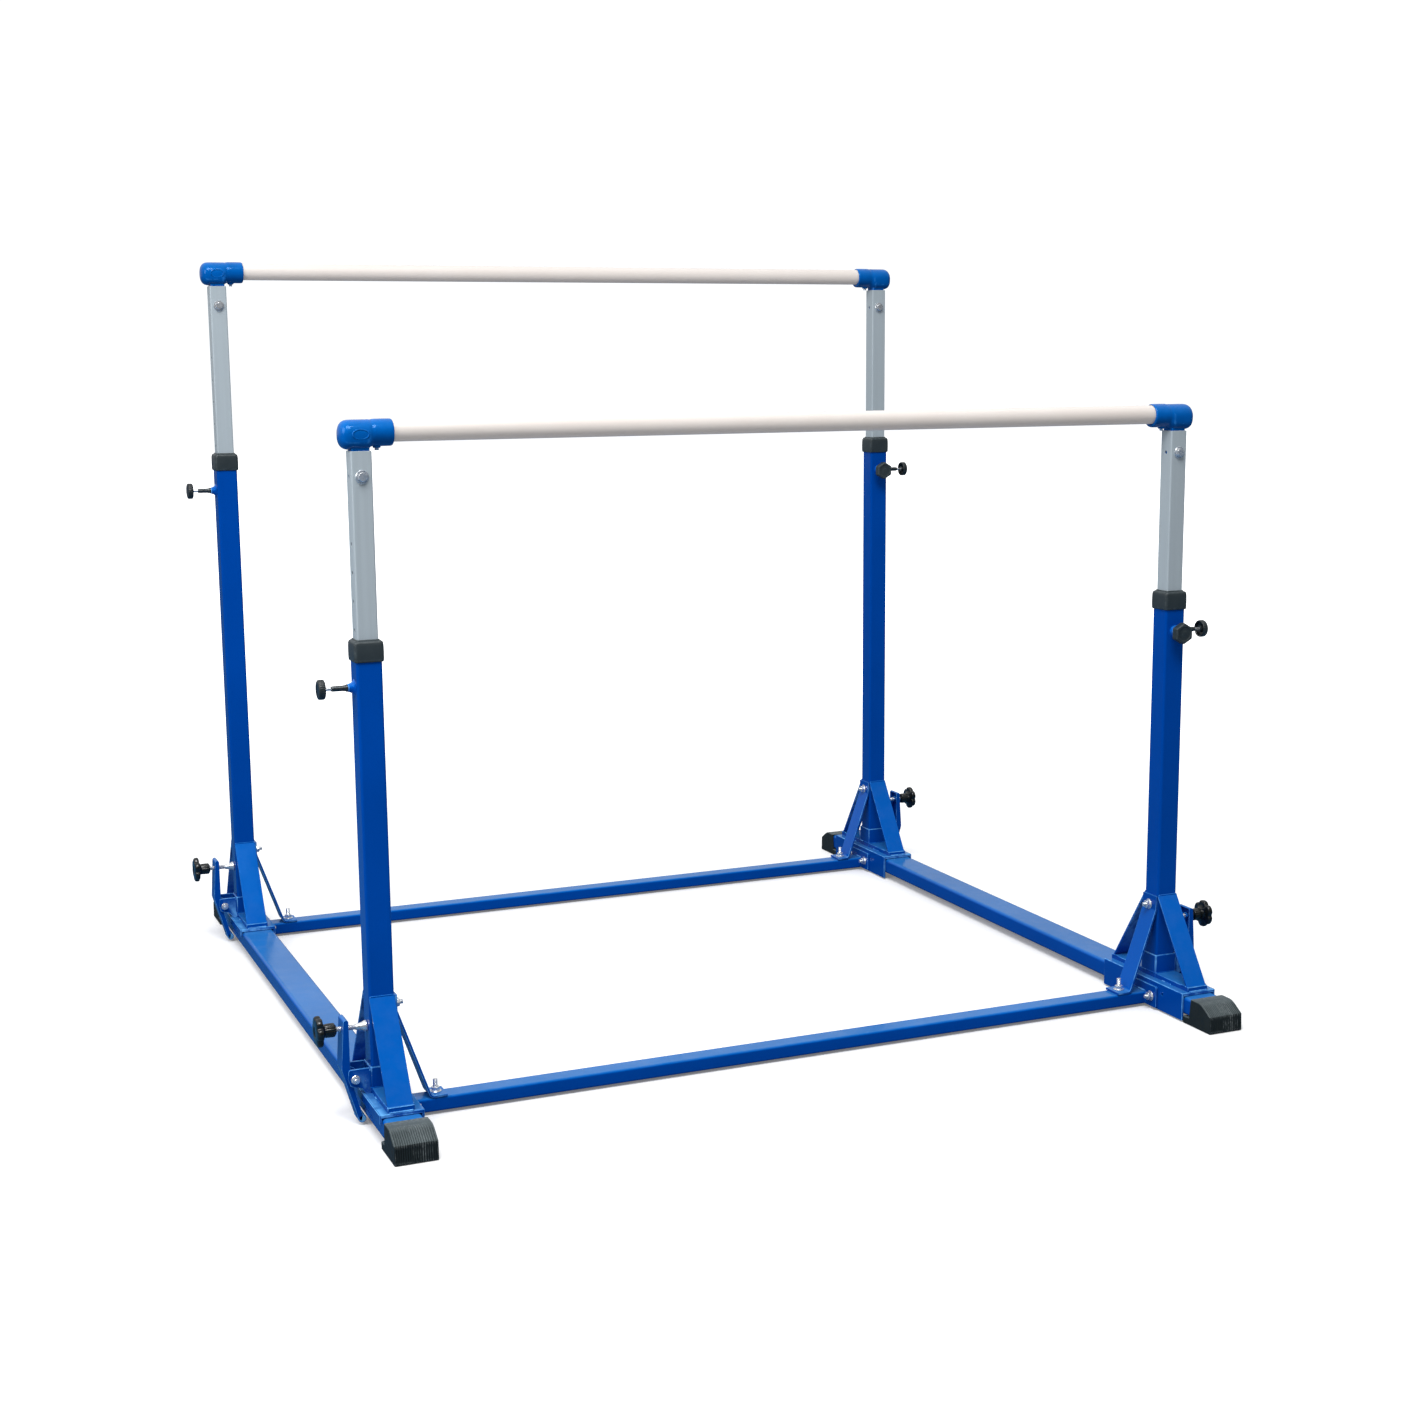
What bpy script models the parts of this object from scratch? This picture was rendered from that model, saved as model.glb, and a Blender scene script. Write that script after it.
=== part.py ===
"""Uneven parallel bars for children: two bars of unequal height on one knock-down steel base.

Units are metres, +Z is up.  The origin is on the floor at the middle of the base, +X runs along
the bars and +Y from the low bar to the high bar.  The pieces of a corner are modelled once, in
corner axes (origin on the floor under the upright, +X pointing outwards along the bars), and
placed at the four uprights.  The left-hand corners are the right-hand ones turned half a circle.
"""

import math

import bmesh
import bpy
from mathutils import Matrix, Vector

GAP = 0.0003  # air left between neighbouring pieces

# Layout
BAR_SPAN = 1.800  # between upright centres along the bars
ROW_SPACING = 1.400  # between the low and the high bar, at the widest setting
TUBE_TOP = {"front": 0.933, "rear": 1.225}  # top ends of the outer uprights
CORNERS = {
    "front_left": ("front", -1, -1),
    "front_right": ("front", 1, -1),
    "rear_left": ("rear", -1, 1),
    "rear_right": ("rear", 1, 1),
}

# Base beams and their rubber feet
BEAM_WIDTH = 0.076
BEAM_BOTTOM = 0.017
BEAM_TOP = 0.057
BEAM_WALL = 0.003
FOOT_WIDTH = 0.084
FOOT_TOP = 0.060
FOOT_END = 0.2525  # front face of a foot, measured from the upright's axis
FOOT_SOLE_START = 0.1535
FOOT_CAP_LOW = 0.175  # the cap's back edge leans a little: its foot, and its top
FOOT_CAP_START = 0.180
FOOT_BEND = 0.2165  # where the flat top starts to fall towards the front face
FOOT_CREST = (0.250, 0.039)  # top edge of the front face
BEAM_END = 0.210

# Saddle that carries an upright on its beam
SADDLE_HALF_LENGTH = 0.152
SADDLE_TOP = 0.065
SADDLE_WALL = 0.0055
SADDLE_INNER_SKIRT = 0.003  # height of the inner wall's lower edge
SADDLE_OUTER_SKIRT = 0.046
PLINTH_TOP = 0.075
PLINTH_WIDTH = 0.052
SOCKET_TOP = 0.117  # top of the short socket round the upright's foot
SOCKET_WIDTH = 0.056
GUSSET_WIDTH = 0.050
GUSSET_TOP = 0.256
GUSSET_FOOT = 0.150
GUSSET_THICKNESS = 0.005
LUG_INSIDE = 0.0212
LUG_THICKNESS = 0.005

# Telescopic uprights
OUTER_TUBE = 0.050
OUTER_WALL = 0.003
INNER_TUBE = 0.040
INNER_WALL = 0.003
HOLE_PITCH = 0.0535
HOLE_COUNT = 10
FIRST_HOLE = 0.2065  # below the bar's axis
HOLE_RADIUS = 0.0042
INNER_TUBE_TOP = 0.035  # below the bar's axis
INNER_TUBE_END = 0.760
PIN_DROP = 0.083  # height of the pull pin below the outer tube's top
HOLES_SHOWN = {"front": 5, "rear": 6}  # holes between the pin and the first hole at rest

# Guide collar
COLLAR_WIDTH = 0.057
COLLAR_HEIGHT = 0.042
COLLAR_OVERLAP = 0.034  # how far the collar's skirt covers the outer tube
COLLAR_SLEEVE = 0.030
COLLAR_CHAMFER = 0.005

# Bars and their holders
BAR_RADIUS = 0.020
BAR_END = 0.008  # past the upright's axis
HOLDER_RADIUS = 0.0272
HOLDER_MOUTH_RADIUS = 0.0255
HOLDER_DROP = 0.002  # the moulding's axis lies this far below the bar's
HOLDER_MOUTH = 0.063
HOLDER_DOME = 0.0385
HOLDER_PLUG = 0.112
HOLDER_BOLT_DROP = 0.082
BOLT_RADIUS = 0.005

# Pull pin with its threaded barrel
PIN_RADIUS = 0.003
BARREL_RADIUS = 0.005
BOSS_RADIUS = 0.014
BOSS_END = 0.038
BARREL_END = 0.069
PULL_KNOB = (0.079, 0.096)
PULL_KNOB_RADIUS = 0.019

# Clamp knob on the front of the right-hand uprights
CLAMP_BOSS_RADIUS = 0.013
CLAMP_KNOB = (0.0385, 0.061)
CLAMP_KNOB_RADIUS = 0.0235

# Clamp lever that grips the beam
LEVER_PIVOT = (0.057, 0.096)
LEVER_HALF_WIDTH = 0.0205
LEVER_WALL = 0.0035
LEVER_TOP = (0.0755, 0.214)
LEVER_BEND = (0.0815, 0.116)
LEVER_TIP = (0.0530, 0.016)
LEVER_DEPTH = 0.0105
JAW = (0.0448, 0.0138)
JAW_RADIUS = 0.008
PIVOT_RADIUS = 0.004
SCREW_HEIGHT = 0.192
SCREW_RADIUS = 0.005
SCREW_END = 0.0995
STAR_HUB = (0.088, 0.107)
STAR_BACK = 0.1125  # rear face of the lobes
STAR_FACE = 0.126
STAR_RADIUS = 0.030
STAR_LOBES = 6
STAR_TURN = {"front_left": 30}  # degrees by which a knob was left turned

# Cross rails and braces
RAIL_WIDTH = 0.046
RAIL_BOTTOM = 0.006
RAIL_TOP = 0.035
FLANGE_THICKNESS = 0.005
FLANGE_HALF_LENGTH = 0.062
FLANGE_TOP = 0.055
FLANGE_BOLT = (0.042, 0.030)
BRACE_WIDTH = 0.050
BRACE_THICKNESS = 0.005
BRACE_BOLT_HEIGHT = 0.231
BRACE_NUT_REACH = 0.106

MATERIALS = {
    "blue_paint": ((0.000, 0.115, 0.520, 1), 0.22, 0.0),
    "grey_metal": ((0.440, 0.480, 0.520, 1), 0.38, 0.6),
    "slate_plastic": ((0.045, 0.062, 0.070, 1), 0.50, 0.0),
    "black_plastic": ((0.010, 0.012, 0.012, 1), 0.18, 0.0),
    "foot_rubber": ((0.055, 0.070, 0.075, 1), 0.80, 0.0),
    "bar_coating": ((0.800, 0.770, 0.740, 1), 0.35, 0.0),
    "blue_moulding": ((0.000, 0.130, 0.560, 1), 0.18, 0.0),
    "zinc": ((0.720, 0.740, 0.760, 1), 0.25, 1.0),
}
TO_AXIS = {
    "X": Matrix.Rotation(math.radians(90), 4, "Y"),
    "Y": Matrix.Rotation(math.radians(-90), 4, "X"),
    "Z": Matrix.Identity(4),
}
SIDE_VIEW = {  # an outline's two coordinates and its thickness, as axes of the part
    "XZ": Matrix(((1, 0, 0, 0), (0, 0, -1, 0), (0, 1, 0, 0), (0, 0, 0, 1))),
    "YZ": Matrix(((0, 0, 1, 0), (1, 0, 0, 0), (0, 1, 0, 0), (0, 0, 0, 1))),
}


# Modelling helpers ---------------------------------------------------------------------------


def clear_scene():
    for obj in list(bpy.data.objects):
        bpy.data.objects.remove(obj)


def collection(name):
    made = bpy.data.collections.new(name)
    bpy.context.scene.collection.children.link(made)
    return made


def make_materials():
    made = {}
    for name, (colour, roughness, metallic) in MATERIALS.items():
        material = bpy.data.materials.new(name)
        material.use_nodes = True
        shader = material.node_tree.nodes["Principled BSDF"]
        shader.inputs["Base Color"].default_value = colour
        shader.inputs["Roughness"].default_value = roughness
        shader.inputs["Metallic"].default_value = metallic
        material.diffuse_color = colour
        made[name] = material
    return made


def helper(name, data):
    """A working object, which never becomes a part itself."""
    obj = bpy.data.objects.new(name, data)
    obj.hide_render = True
    obj.display_type = "WIRE"
    bpy.data.collections["helpers"].objects.link(obj)
    return obj


def evaluated_mesh(obj):
    """The object's shape with its modifiers done, welded and facing out. The object is removed."""
    graph = bpy.context.evaluated_depsgraph_get()
    mesh = bpy.data.meshes.new_from_object(obj.evaluated_get(graph))
    shape = bmesh.new()
    shape.from_mesh(mesh)
    bmesh.ops.remove_doubles(shape, verts=shape.verts, dist=1e-6)
    bmesh.ops.recalc_face_normals(shape, faces=shape.faces)
    shape.to_mesh(mesh)
    shape.free()
    bpy.data.objects.remove(obj)
    return mesh


def helper_from_bmesh(name, shape):
    mesh = bpy.data.meshes.new(name)
    bmesh.ops.recalc_face_normals(shape, faces=shape.faces)
    shape.to_mesh(mesh)
    shape.free()
    return helper(name, mesh)


def block(low, high, radius=0.0, along="Z", segments=2):
    """A box between two corners. With a radius, its edges along one axis are rounded."""
    size = Vector(high) - Vector(low)
    centre = (Vector(high) + Vector(low)) / 2
    shape = bmesh.new()
    place = Matrix.Translation(centre) @ Matrix.Diagonal((*size, 1))
    bmesh.ops.create_cube(shape, size=1, matrix=place)
    if radius:
        axis = "XYZ".index(along)
        edges = [e for e in shape.edges if abs(e.verts[0].co[axis] - e.verts[1].co[axis]) > 1e-6]
        bmesh.ops.bevel(
            shape, geom=edges, offset=radius, segments=segments, profile=0.5, affect="EDGES"
        )
    return helper_from_bmesh("block", shape)


def rod(axis, start, end, radius, centre=(0, 0, 0), segments=12, end_radius=None):
    """A cylinder along an axis, or a cone when its two ends differ."""
    shape = bmesh.new()
    middle = Matrix.Translation((0, 0, (start + end) / 2))
    bmesh.ops.create_cone(
        shape,
        cap_ends=True,
        segments=segments,
        radius1=radius,
        radius2=radius if end_radius is None else end_radius,
        depth=end - start,
        matrix=Matrix.Translation(centre) @ TO_AXIS[axis] @ middle,
    )
    return helper_from_bmesh("rod", shape)


def turned(axis, profile, centre=(0, 0, 0), segments=16):
    """A solid of revolution. The profile is (distance along the axis, radius), far end first."""
    mesh = bpy.data.meshes.new("profile")
    points = [(radius, 0, along) for along, radius in profile]
    mesh.from_pydata(points, [(i, i + 1) for i in range(len(points) - 1)], [])
    obj = helper("turned", mesh)
    screw = obj.modifiers.new("Screw", "SCREW")
    screw.axis = "Z"
    screw.steps = screw.render_steps = segments
    screw.use_merge_vertices = True
    screw.merge_threshold = 1e-5
    solid = evaluated_mesh(obj)
    solid.transform(Matrix.Translation(centre) @ TO_AXIS[axis])
    return helper("turned", solid)


def plate(view, outline, low, high):
    """A flat outline in the XZ or YZ plane, extruded from low to high along the third axis."""
    curve = bpy.data.curves.new("outline", "CURVE")
    curve.dimensions = "2D"
    curve.fill_mode = "BOTH"
    curve.extrude = (high - low) / 2
    spline = curve.splines.new("POLY")
    spline.points.add(len(outline) - 1)
    for point, (a, b) in zip(spline.points, outline):
        point.co = (a, b, 0, 1)
    spline.use_cyclic_u = True
    solid = evaluated_mesh(helper("outline", curve))
    middle = (low + high) / 2
    shift = Vector((0, middle, 0)) if view == "XZ" else Vector((middle, 0, 0))
    solid.transform(Matrix.Translation(shift) @ SIDE_VIEW[view])
    return helper("plate", solid)


def fused(solids, cutters=()):
    """One mesh from overlapping solids, less the cutters."""
    body = solids[0]
    steps = [(other, "UNION") for other in solids[1:]] + [(other, "DIFFERENCE") for other in cutters]
    for other, operation in steps:
        boolean = body.modifiers.new(operation, "BOOLEAN")
        boolean.operation = operation
        boolean.object = other
    bpy.context.view_layer.update()
    mesh = evaluated_mesh(body)
    for other, _ in steps:
        bpy.data.objects.remove(other)
    return mesh


def arc(centre, radius, start, end, steps):
    """Points on an arc, angles in degrees."""
    angles = [math.radians(start + (end - start) * i / steps) for i in range(steps + 1)]
    return [(centre[0] + radius * math.cos(a), centre[1] + radius * math.sin(a)) for a in angles]


def ribbon(path, thickness):
    """The outline of a strip that follows a path of (a, b) points, lying on its left side."""
    points = [Vector(p) for p in path]
    offset = []
    for i, point in enumerate(points):
        before = (point - points[i - 1]).normalized() if i else None
        after = (points[i + 1] - point).normalized() if i + 1 < len(points) else None
        sides = [Vector((-d.y, d.x)) for d in (before, after) if d is not None]
        mitre = sum(sides, Vector((0, 0))).normalized()
        offset.append(point + mitre * thickness / mitre.dot(sides[0]))
    return [tuple(p) for p in points] + [tuple(p) for p in reversed(offset)]


def hex_head(axis, start, end, across_corners, centre):
    return rod(axis, start, end, across_corners / 2, centre, segments=6)


def centred(mesh, origin):
    mesh.transform(Matrix.Translation(-Vector(origin)))
    return mesh


def put(name, mesh, slot, parent, origin=(0, 0, 0), turn=(0, 0, 0)):
    """The named part: the mesh with its material, its origin on its joint's axis."""
    obj = bpy.data.objects.new(name, mesh)
    if not mesh.materials:
        mesh.materials.append(bpy.data.materials[slot])
        mesh.shade_smooth()
        mesh.set_sharp_from_angle(angle=math.radians(35))
    obj.parent = parent
    obj.location = origin
    obj.rotation_euler = turn
    bpy.data.collections["uneven_parallel_bars"].objects.link(obj)
    return obj


def empty(name, location, turn=0.0):
    obj = bpy.data.objects.new(name, None)
    obj.location = location
    obj.rotation_euler = (0, 0, turn)
    bpy.data.collections["uneven_parallel_bars"].objects.link(obj)
    return obj


# Base ----------------------------------------------------------------------------------------


def square_tube(half_a, half_b, wall, low, high, axis, centre=(0, 0), radius=0.004):
    """A rectangular tube along an axis and the cutter for its hollow."""

    def corners(a, b, low, high):
        spans = {
            "Z": ((centre[0] - a, centre[1] - b, low), (centre[0] + a, centre[1] + b, high)),
            "Y": ((centre[0] - a, low, centre[1] - b), (centre[0] + a, high, centre[1] + b)),
            "X": ((low, centre[0] - a, centre[1] - b), (high, centre[0] + a, centre[1] + b)),
        }
        return spans[axis]

    outside = block(*corners(half_a, half_b, low, high), radius, axis)
    hollow = block(*corners(half_a - wall, half_b - wall, low - 0.01, high + 0.01))
    return outside, hollow


def beam_mesh():
    half = ROW_SPACING / 2 + BEAM_END
    middle = (BEAM_TOP + BEAM_BOTTOM) / 2
    height = (BEAM_TOP - BEAM_BOTTOM) / 2
    outside, hollow = square_tube(
        BEAM_WIDTH / 2, height, BEAM_WALL, -half, half, "Y", (0, middle), 0.005
    )
    return fused([outside], [hollow])


def foot_mesh():
    """A rubber end cap: a sole under the beam and a cap over its end, towards -Y."""
    sole_top = BEAM_BOTTOM - GAP
    outline = [(-FOOT_SOLE_START, 0), (-FOOT_SOLE_START, sole_top), (-FOOT_CAP_LOW, sole_top)]
    crest, height = FOOT_CREST
    outline += [(-FOOT_CAP_START, FOOT_TOP), (0.004 - FOOT_BEND, FOOT_TOP)]
    outline += [(-FOOT_BEND, FOOT_TOP - 0.0006), (-FOOT_BEND - 0.004, FOOT_TOP - 0.0025)]
    outline += [(-crest, height), (-crest - 0.0008, height - 0.002)]
    outline += [(-FOOT_END, 0.003), (-FOOT_END + 0.003, 0)]
    cap = plate("YZ", outline, -FOOT_WIDTH / 2, FOOT_WIDTH / 2)
    side = BEAM_WIDTH / 2 + GAP
    pocket = block((-side, -BEAM_END - GAP, sole_top), (side, -0.1, BEAM_TOP + GAP))
    return fused([cap], [pocket])


# Saddle weldment -----------------------------------------------------------------------------


def gusset(direction):
    """An inclined plate from the upright's face down to the end of the saddle."""
    face = OUTER_TUBE / 2 + GAP
    run = GUSSET_FOOT - face
    rise = GUSSET_TOP - SADDLE_TOP + 0.001
    slope = math.hypot(run, rise)
    drop = GUSSET_THICKNESS * slope / run
    inset = GUSSET_THICKNESS * slope / rise
    outline = [
        (face, GUSSET_TOP),
        (GUSSET_FOOT, SADDLE_TOP - 0.001),
        (GUSSET_FOOT - inset, SADDLE_TOP - 0.001),
        (face, GUSSET_TOP - drop),
    ]
    outline = [(direction * y, z) for y, z in outline]
    return plate("YZ", outline, -GUSSET_WIDTH / 2, GUSSET_WIDTH / 2)


def lug(side):
    """One of the two ears that carry the clamp lever's pivot."""
    x, z = LEVER_PIVOT
    outline = [(SOCKET_WIDTH / 2 - 0.001, SOCKET_TOP - 0.001), (x + 0.010, SOCKET_TOP - 0.001)]
    outline += arc((x, z), 0.0135, 40, -60, 5)
    outline += [(0.036, SADDLE_TOP - 0.001), (SOCKET_WIDTH / 2 - 0.001, SADDLE_TOP - 0.001)]
    near, far = sorted((side * LUG_INSIDE, side * (LUG_INSIDE + LUG_THICKNESS)))
    return plate("XZ", outline, near, far)


def saddle_mesh():
    inner = -(BEAM_WIDTH / 2 + GAP)
    outer = -inner
    half = SADDLE_HALF_LENGTH
    plinth = PLINTH_WIDTH / 2
    socket = SOCKET_WIDTH / 2
    clear = OUTER_TUBE / 2 + GAP
    solids = [
        block((inner - SADDLE_WALL, -half, BEAM_TOP + GAP), (outer + 0.005, half, SADDLE_TOP)),
        block((inner - SADDLE_WALL, -half, SADDLE_INNER_SKIRT), (inner, half, SADDLE_TOP)),
        block((outer, -half, SADDLE_OUTER_SKIRT), (outer + 0.005, half, SADDLE_TOP)),
        block((-plinth, 0.002 - GUSSET_FOOT, SADDLE_TOP - 0.002), (plinth, GUSSET_FOOT - 0.002, PLINTH_TOP)),
        block((-socket, -socket, SADDLE_TOP), (socket, socket, SOCKET_TOP)),
        gusset(-1),
        gusset(1),
        lug(-1),
        lug(1),
    ]
    x, z = LEVER_PIVOT
    cutters = [
        block((-clear, -clear, PLINTH_TOP), (clear, clear, SOCKET_TOP + 0.01)),
        rod("Y", -0.04, 0.04, PIVOT_RADIUS + GAP, (x, 0, z)),
    ]
    return fused(solids, cutters)


# Uprights ------------------------------------------------------------------------------------


def pin_height(row):
    return TUBE_TOP[row] - PIN_DROP


def bar_height(row):
    return pin_height(row) + HOLES_SHOWN[row] * HOLE_PITCH + FIRST_HOLE


def upright_mesh(row, with_clamp):
    """The outer tube with the pull pin's boss and barrel and, on one side, the clamp's boss."""
    outside, hollow = square_tube(
        OUTER_TUBE / 2, OUTER_TUBE / 2, OUTER_WALL, PLINTH_TOP + GAP, TUBE_TOP[row], "Z"
    )
    pin_axis = (0, 0, pin_height(row))
    face = OUTER_TUBE / 2
    inside = face - OUTER_WALL / 2
    flare = [(BARREL_END, 0), (BARREL_END, BARREL_RADIUS), (BOSS_END, BARREL_RADIUS)]
    flare += [(BOSS_END, 0.0075), (face + 0.005, 0.0105), (inside, BOSS_RADIUS), (inside, 0)]
    solids = [outside, turned("X", flare, pin_axis, 12)]
    cutters = [hollow, rod("X", 0.015, BARREL_END + 0.01, PIN_RADIUS + GAP, pin_axis, 8)]
    if with_clamp:
        end = CLAMP_KNOB[0] - GAP
        solids.append(rod("Y", -end, -inside, CLAMP_BOSS_RADIUS, pin_axis, 12))
        cutters.append(rod("Y", -end - 0.01, -0.015, BOLT_RADIUS, pin_axis, 8))
    return fused(solids, cutters)


def collar_mesh():
    """The plastic cap on an outer tube, with a sleeve that guides the inner one. Origin: tube top."""
    half = COLLAR_WIDTH / 2
    foot = -COLLAR_OVERLAP
    top = foot + COLLAR_HEIGHT
    body = block((-half, -half, foot), (half, half, top), 0.004)
    chamfer = body.modifiers.new("Bevel", "BEVEL")
    chamfer.limit_method = "ANGLE"
    chamfer.angle_limit = math.radians(60)
    chamfer.width = COLLAR_CHAMFER
    chamfer.segments = 1
    shell = helper("collar", evaluated_mesh(body))
    outside = OUTER_TUBE / 2 + GAP
    skirt_hollow = block((-outside, -outside, foot - 0.01), (outside, outside, GAP))
    sleeve_half = OUTER_TUBE / 2 - OUTER_WALL - GAP
    sleeve = block(
        (-sleeve_half, -sleeve_half, foot - COLLAR_SLEEVE), (sleeve_half, sleeve_half, top - 0.004)
    )
    bore_half = INNER_TUBE / 2 + GAP
    bore = block((-bore_half, -bore_half, foot - 0.05), (bore_half, bore_half, top + 0.01))
    skirt = helper("skirt", fused([shell], [skirt_hollow]))
    return fused([skirt, sleeve], [bore])


def inner_post_mesh():
    """The inner tube with its row of height holes. Origin: on the bar's axis."""
    half = INNER_TUBE / 2
    outside, hollow = square_tube(
        half, half, INNER_WALL, -INNER_TUBE_END, -INNER_TUBE_TOP, "Z", radius=0.003
    )
    cutters = [hollow]
    for i in range(HOLE_COUNT):
        centre = (0, 0, -FIRST_HOLE - i * HOLE_PITCH)
        cutters.append(rod("X", 0, half + 0.01, HOLE_RADIUS, centre, 10))
    bolt = (0, 0, -HOLDER_BOLT_DROP)
    cutters.append(rod("Y", -half - 0.01, half + 0.01, BOLT_RADIUS + GAP, bolt, 12))
    cutters.append(rod("X", -half - 0.01, half + 0.01, HOLE_RADIUS, bolt, 10))
    return fused([outside], cutters)


# Bars and holders ----------------------------------------------------------------------------


def bar_mesh():
    half = BAR_SPAN / 2 + BAR_END
    return fused([rod("X", -half, half, BAR_RADIUS, segments=24)])


def holder_mesh():
    """The moulded holder: a domed sleeve on the bar and a square plug in the inner tube."""
    dome = [
        (HOLDER_DOME - 0.020 * (1 - math.cos(a)), HOLDER_RADIUS * math.sin(a))
        for a in (math.radians(22.5 * i) for i in range(5))
    ]
    profile = dome + [(-0.024, HOLDER_RADIUS), (-HOLDER_MOUTH, HOLDER_MOUTH_RADIUS), (-HOLDER_MOUTH, 0)]
    plug = INNER_TUBE / 2 - INNER_WALL - GAP
    solids = [
        turned("X", profile, (0, 0, -HOLDER_DROP), 20),
        block((-plug, -plug, -HOLDER_PLUG), (plug, plug, -0.022)),
        rod("Z", -0.036, -0.024, 0.0035, (-0.034, 0, 0), 8),
    ]
    cutters = [
        rod("X", -HOLDER_MOUTH - 0.01, BAR_END + 0.002, BAR_RADIUS + 2 * GAP, segments=24),
        rod("Y", -0.03, 0.03, BOLT_RADIUS + GAP, (0, 0, -HOLDER_BOLT_DROP), 12),
    ]
    return fused(solids, cutters)


def holder_bolt_mesh():
    """The bolt through tube and plug, with washers, head and nut. Origin: on its own axis."""
    face = INNER_TUBE / 2 + GAP
    washer = face + 0.002
    return fused(
        [
            rod("Y", -washer, washer, BOLT_RADIUS, segments=10),
            rod("Y", -washer, -face, 0.0125, segments=16),
            rod("Y", face, washer, 0.0105, segments=16),
            hex_head("Y", -washer - 0.0065, -washer + 0.0005, 0.0185, (0, 0, 0)),
            hex_head("Y", washer - 0.0005, washer + 0.008, 0.0185, (0, 0, 0)),
        ]
    )


# Hand controls -------------------------------------------------------------------------------


def pull_pin_mesh():
    """Origin on the pin's axis, at the upright's centre line."""
    near, far = PULL_KNOB
    profile = [
        (far, 0),
        (far, PULL_KNOB_RADIUS - 0.004),
        (far - 0.004, PULL_KNOB_RADIUS),
        (near + 0.003, PULL_KNOB_RADIUS),
        (near, PULL_KNOB_RADIUS - 0.002),
        (near, 0.006),
        (near - 0.006, PIN_RADIUS),
        (INNER_TUBE / 2 + 0.0008, PIN_RADIUS),
        (INNER_TUBE / 2 + 0.0004, 0),
    ]
    return fused([turned("X", profile, segments=12)])


def clamp_knob_mesh():
    """The hexagonal knob and its stud, pointing along -Y. Origin: on its axis."""
    near, far = CLAMP_KNOB
    stud = rod("Y", -near - 0.002, -INNER_TUBE / 2 - 0.0005, BOLT_RADIUS - 0.001, segments=8)
    return fused([hex_head("Y", -far, -near, 2 * CLAMP_KNOB_RADIUS, (0, 0, 0)), stud])


def lever_outer_edge():
    """The lever's outer edge, top to tip, then the turn into the jaw."""
    return [LEVER_TOP, LEVER_BEND, LEVER_TIP]


def lever_flange(side):
    """One side wall of the channel-shaped clamp lever, with the ear for the pivot."""
    x, z = LEVER_PIVOT
    top_x, top_z = LEVER_TOP
    bend_x, bend_z = LEVER_BEND
    tip_x, tip_z = LEVER_TIP
    outline = [(top_x - LEVER_DEPTH, bend_z - 0.004), (top_x - LEVER_DEPTH, top_z - 0.004)]
    outline += [(top_x - 0.0065, top_z), (top_x - 0.003, top_z), (top_x, top_z - 0.004)]
    outline += [(bend_x, bend_z), (tip_x, tip_z), (JAW[0] + 0.003, JAW[1] - 0.006)]
    outline += [(JAW[0], JAW[1] + 0.004), (tip_x - 0.007, tip_z + 0.012)]
    outline += [(x + 0.003, z - 0.014)] + arc((x, z), 0.010, 240, 110, 4)
    wall = LEVER_HALF_WIDTH
    near, far = sorted((side * wall, side * (wall - LEVER_WALL)))
    return plate("XZ", outline, near, far)


def lever_mesh():
    """The clamp lever. Origin: on its pivot."""
    x, z = LEVER_PIVOT
    inner = LEVER_HALF_WIDTH - LEVER_WALL / 2
    web = plate("XZ", ribbon(list(reversed(lever_outer_edge())), LEVER_WALL), -inner, inner)
    jaw = rod("Y", -LEVER_HALF_WIDTH, LEVER_HALF_WIDTH, JAW_RADIUS, (JAW[0], 0, JAW[1]), 14)
    cutters = [
        rod("Y", -0.03, 0.03, PIVOT_RADIUS + GAP, (x, 0, z)),
        rod("X", 0.05, 0.1, SCREW_RADIUS + 2 * GAP, (0, 0, SCREW_HEIGHT)),
    ]
    return centred(fused([lever_flange(-1), web, lever_flange(1), jaw], cutters), (x, 0, z))


def pivot_bolt_mesh():
    """Origin: on its axis."""
    face = LUG_INSIDE + LUG_THICKNESS + GAP
    return fused(
        [
            rod("Y", -face - 0.001, face + 0.001, PIVOT_RADIUS - GAP),
            hex_head("Y", -face - 0.0055, -face, 0.015, (0, 0, 0)),
            hex_head("Y", face, face + 0.0065, 0.015, (0, 0, 0)),
        ]
    )


def clamp_screw_mesh():
    """The screw with its flared pressure foot. Origin: on its axis, at the upright's centre line."""
    tip = OUTER_TUBE / 2 + 0.0006
    profile = [
        (SCREW_END, 0),
        (SCREW_END, SCREW_RADIUS),
        (tip + 0.022, SCREW_RADIUS),
        (tip + 0.007, 0.0095),
        (tip + 0.002, 0.0095),
        (tip, 0.0075),
        (tip, 0),
    ]
    return fused([turned("X", profile, segments=12)])


def star_outline(radius, valley):
    """A six-lobed outline around the origin."""
    points = []
    for i in range(STAR_LOBES * 4):
        angle = 2 * math.pi * i / (STAR_LOBES * 4)
        reach = (radius + valley) / 2 + (radius - valley) / 2 * math.cos(STAR_LOBES * angle)
        points.append((reach * math.cos(angle), reach * math.sin(angle)))
    return points


def star_knob_mesh():
    """The lobed knob with its hub. Origin: on its axis, at the upright's centre line."""
    near, far = STAR_HUB
    lobes = plate("YZ", star_outline(STAR_RADIUS, STAR_RADIUS * 0.78), STAR_BACK, STAR_FACE - 0.004)
    crown = rod("X", STAR_FACE - 0.005, STAR_FACE, STAR_RADIUS * 0.72, end_radius=0.015)
    hub = rod("X", near, far, 0.014)
    flare = rod("X", far - 0.001, STAR_BACK + 0.001, 0.013, end_radius=0.022)
    bore = rod("X", near - 0.01, SCREW_END + GAP, SCREW_RADIUS + 2 * GAP)
    return fused([lobes, crown, hub, flare], [bore])


# Cross rails and braces ----------------------------------------------------------------------


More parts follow.
